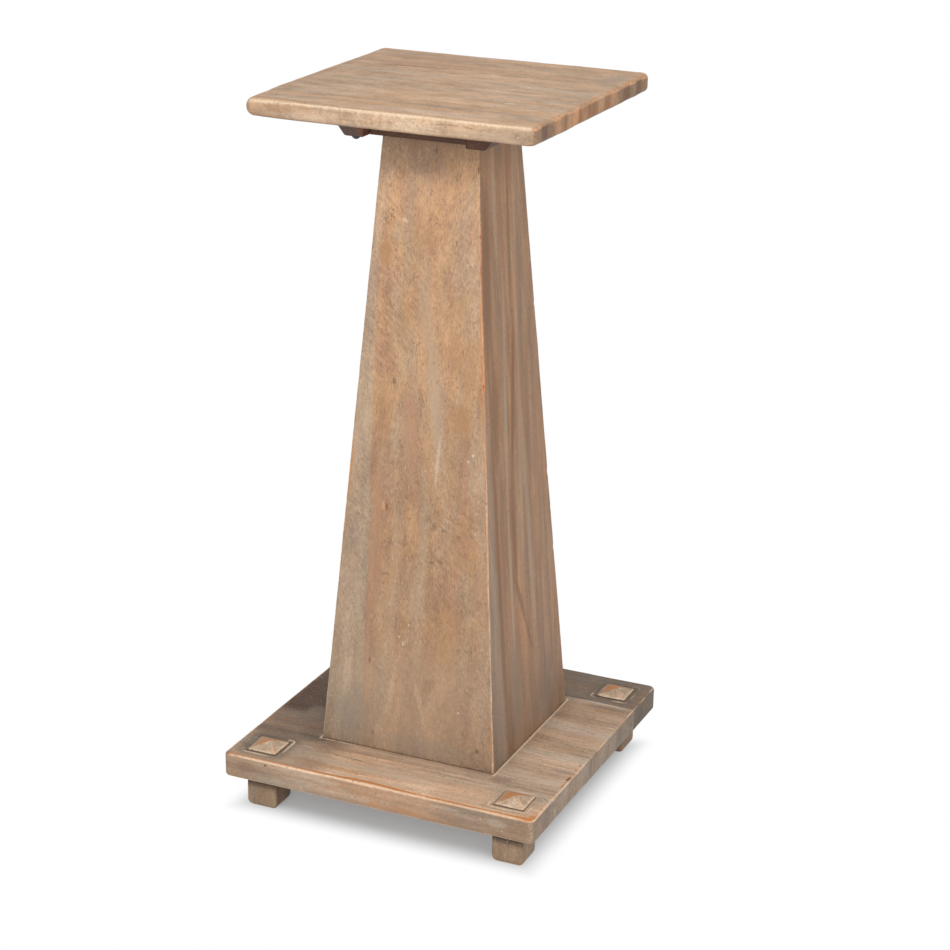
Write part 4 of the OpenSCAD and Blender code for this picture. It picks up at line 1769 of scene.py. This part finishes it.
@dataclass
class Undercarriage:
    """The four cleats under the top board and their screws.

    Attributes:
        column_half: Function from a height to half the column's width there, in metres.
        bevel_in: How far the bevel of a side cleat cuts in, in metres.
        bevel_up: How far it reaches up, in metres.
    """

    column_half: Callable[[Array], Array]
    bevel_in: float = 8.0 * MM
    bevel_up: float = 10.0 * MM

    def side_section(self, node: str, hand: int) -> Callable:
        """Section of a side cleat: a box whose outer lower corner is cut by the bevel."""
        low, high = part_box(node)
        inner, outer = (low.x, high.x) if hand > 0 else (high.x, low.x)

        def section(across: Array, up: Array) -> tuple[Array, Array]:
            """Inner side to outer side, with the outer edge leaning over the bevel's height."""
            rise = up * (high.z - low.z)
            edge = outer - hand * self.bevel_in * np.clip(1.0 - rise / self.bevel_up, 0.0, 1.0)
            return inner + (edge - inner) * across, low.z + rise

        return section

    def cross_section(self, node: str, hand: int) -> Callable:
        """Section of a cross cleat: its inner side slopes with the column."""
        low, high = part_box(node)
        outer = high.y if hand > 0 else low.y

        def section(across: Array, up: Array) -> tuple[Array, Array]:
            """Column side to outer side."""
            z = low.z + up * (high.z - low.z)
            inner = hand * self.column_half(z)
            return inner + (outer - inner) * across, z

        return section

    def build(self) -> None:
        """Makes the cleats and dresses the screws."""
        wood = CLEAT_FINISH.material()
        side_wood = replace(CLEAT_FINISH, name="dark_side_cleat_wood_with_painted_shade", grain=Grain.ALONG_Y).material()
        left, right = self.side_section("cleat_left", -1), self.side_section("cleat_right", 1)
        front, back = self.cross_section("cleat_front", -1), self.cross_section("cleat_back", 1)
        Cleat("cleat_left", left, 1, seed=121, dusty=0.55, bare=0.55).build(side_wood)
        Cleat("cleat_right", right, 1, seed=131).build(side_wood)
        Cleat("cleat_front", front, 0, seed=141).build(wood)
        Cleat("cleat_back", back, 0, seed=151).build(wood)
        steel = SteelFinish().material()
        for node in sorted(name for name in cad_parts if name.startswith("screw_")):
            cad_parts[node].data.materials.clear()
            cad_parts[node].data.materials.append(steel)
            LOG.info("%s keeps its model shape", node)


# --------------------------------------------------------------------------- studio


@dataclass
class Studio:
    """Pale floor, soft lamps, white surround and the camera.

    Attributes:
        camera_from: The camera's place, in metres.
        camera_yaw: How far it looks to the left of straight back, in degrees.
        camera_pitch: How far it looks down, in degrees.
        camera_roll: Its turn about its own line of sight, in degrees.
        lens_mm: Focal length on a sensor 36 mm wide.
        shadow_at: Middle of the shadow on the floor, in metres.
        shadow_past: How far its full part reaches from the middle, in metres.
        shadow_fade: Where it starts and ends its fade to white beyond that, in metres.
        cloth: The floor's colour to the light.
        seen_cloth: The floor's colour to the eye, in the shadow.
        seen_glow: Light that the floor adds to the eye, so that the shadow stays soft.
        soft_light: Strength of the light from all round.
    """

    camera_from: Place = (0.9924, -2.1688, 1.2263)
    camera_yaw: float = 23.928
    camera_pitch: float = 20.186
    camera_roll: float = 0.812
    lens_mm: float = 91.69
    shadow_at: tuple[float, float] = (-0.002, 0.0)
    shadow_past: tuple[float, float] = (0.006, 0.0)
    shadow_fade: tuple[float, float] = (0.135, 0.181)
    cloth: Colour = (0.80, 0.80, 0.80)
    seen_cloth: Colour = (0.325, 0.35, 0.375)
    seen_glow: float = 0.245
    soft_light: float = 0.28

    def floor(self) -> None:
        """Adds the floor: its colour is white to the eye, and it keeps the object's shadow."""
        reach = np.linspace(-30, 30, 5)
        grid = box_lattice(reach, reach, np.array([-0.02, -0.0002]))
        points = np.stack([grid.x, grid.y, grid.z], axis=1)
        floor = make_piece("floor", [grid.quads], points, {})
        s = Sketch(bpy.data.materials.new("pale_floor"))
        cloth = s.shader("ShaderNodeBsdfDiffuse", Color=self.cloth)
        seen = s.shader("ShaderNodeBsdfDiffuse", Color=self.seen_cloth)
        lifted = s.node("ShaderNodeAddShader")
        s.plug(lifted.inputs[0], seen)
        s.plug(lifted.inputs[1], s.shader("ShaderNodeEmission", Strength=self.seen_glow))
        split = s.node("ShaderNodeSeparateXYZ")
        s.plug(split.inputs[0], s.node("ShaderNodeTexCoord").outputs["Object"])
        past_x, past_y = (
            s.math("SUBTRACT", s.math("ABSOLUTE", s.math("SUBTRACT", place, middle)), past)
            for place, middle, past in zip(split.outputs, self.shadow_at, self.shadow_past)
        )
        outside = s.step(s.math("SMOOTH_MAX", past_x, past_y, 0.02), *self.shadow_fade)
        faded = s.blend(outside, lifted.outputs[0], s.shader("ShaderNodeEmission"))
        s.close(s.blend(s.seen_rays(), cloth, faded))
        floor.data.materials.append(s.block)

    def surround(self) -> None:
        """Soft even light from all round, and plain white behind the object."""
        s = Sketch(bpy.data.worlds.new("white_surround"))
        bpy.context.scene.world = s.block
        white = (1.0, 1.0, 1.0)
        soft = s.shader("ShaderNodeBackground", Color=white, Strength=self.soft_light)
        behind = s.shader("ShaderNodeBackground", Color=white, Strength=1.0)
        s.close(s.blend(s.seen_rays(), soft, behind), "ShaderNodeOutputWorld")

    @staticmethod
    def lamp(name: str, place: Place, target: Place, size: float, watts: float) -> None:
        """Adds a square soft lamp at a place, facing a target."""
        data = bpy.data.lights.new(name, "AREA")
        data.shape = "SQUARE"
        data.size = size
        data.energy = watts
        lamp = bpy.data.objects.new(name, data)
        bpy.context.scene.collection.objects.link(lamp)
        lamp.location = place
        lamp.rotation_euler = (Vector(target) - Vector(place)).to_track_quat("-Z", "Y").to_euler()

    def camera(self) -> None:
        """Adds the camera, from its place, its turn, its tilt down and its roll."""
        yaw, pitch, roll = map(math.radians, (self.camera_yaw, self.camera_pitch, self.camera_roll))
        level = Vector((-math.sin(yaw), math.cos(yaw), 0.0)) * math.cos(pitch)
        forward = level - Vector((0.0, 0.0, math.sin(pitch)))
        right = forward.cross(Vector((0, 0, 1))).normalized()
        up = right.cross(forward)
        side = right * math.cos(roll) + up * math.sin(roll)
        top = up * math.cos(roll) - right * math.sin(roll)
        data = bpy.data.cameras.new("camera")
        data.sensor_fit = "HORIZONTAL"
        data.sensor_width = 36.0
        data.lens = self.lens_mm
        camera = bpy.data.objects.new("camera", data)
        bpy.context.scene.collection.objects.link(camera)
        turn = Matrix((side, top, -forward)).transposed().to_4x4()
        camera.matrix_world = Matrix.Translation(Vector(self.camera_from)) @ turn
        bpy.context.scene.camera = camera

    def build(self) -> None:
        """Sets up the floor, the lamps, the surround, the view and the camera."""
        bpy.context.scene.view_settings.view_transform = "Standard"
        self.floor()
        self.surround()
        middle = (0.0, 0.0, 0.5)
        self.lamp("front_left", (-0.05, -1.75, 1.05), middle, size=0.8, watts=12.0)
        self.lamp("front_right", (1.26, -1.14, 1.10), middle, size=0.8, watts=10.0)
        self.lamp("overhead", (0.1, -0.2, 3.5), (0.0, 0.0, 0.0), size=1.6, watts=36.0)
        self.camera()


# --------------------------------------------------------------------------- the whole pedestal


def main() -> None:
    """Builds the pedestal's sub-assemblies in order, and then the studio."""
    logging.basicConfig(level=logging.INFO, format="%(name)s: %(message)s")
    base_low, base_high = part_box("base_board")
    foot_low, foot_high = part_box("foot_front_right")
    bottom_half, top_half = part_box("column_front")[1].x, 50 * MM

    TopBoard(
        "top_board", corner_r=9 * MM, edge_r=5 * MM, step=2.3 * MM, seams=(-55 * MM, 66 * MM), seed=11
    ).build()
    # The number with each side is its fade, painted shade growing downwards
    sides = (("column_front", 0.22), ("column_right", 0.0), ("column_back", 0.10), ("column_left", 0.05))
    columns = [
        ColumnBoard(node, turn, bottom_half, top_half, 18 * MM, 2.4 * MM, COLUMN_FINISHES[turn], fade)
        for turn, (node, fade) in enumerate(sides)
    ]
    for column in columns:
        column.build()
    Undercarriage(columns[0].half).build()
    BaseBoard(
        "base_board", corner_r=7.5 * MM, edge_r=3.2 * MM, step=2.6 * MM,
        seams=(-118 * MM, -55 * MM, 54 * MM, 100 * MM), seed=23,
        hole_half=(foot_high.x - foot_low.x) / 2 + 0.1 * MM, hole_at=(foot_low.x + foot_high.x) / 2,
        column_half=bottom_half,
    ).build()
    for seed, node, signs, lean in (
        (31, "foot_front_left", (-1, -1), (1.5 * MM, 1.0 * MM)),
        (32, "foot_front_right", (1, -1), (3.0 * MM, 1.0 * MM)),
        (33, "foot_back_right", (1, 1), (4.0 * MM, 2.0 * MM)),
        (34, "foot_back_left", (-1, 1), (0.0, 2.0 * MM)),
    ):
        FootPost(node, signs, lean, base_high.z, base_low.z, seed).build()
    Studio().build()


if __name__ == "__main__":
    main()
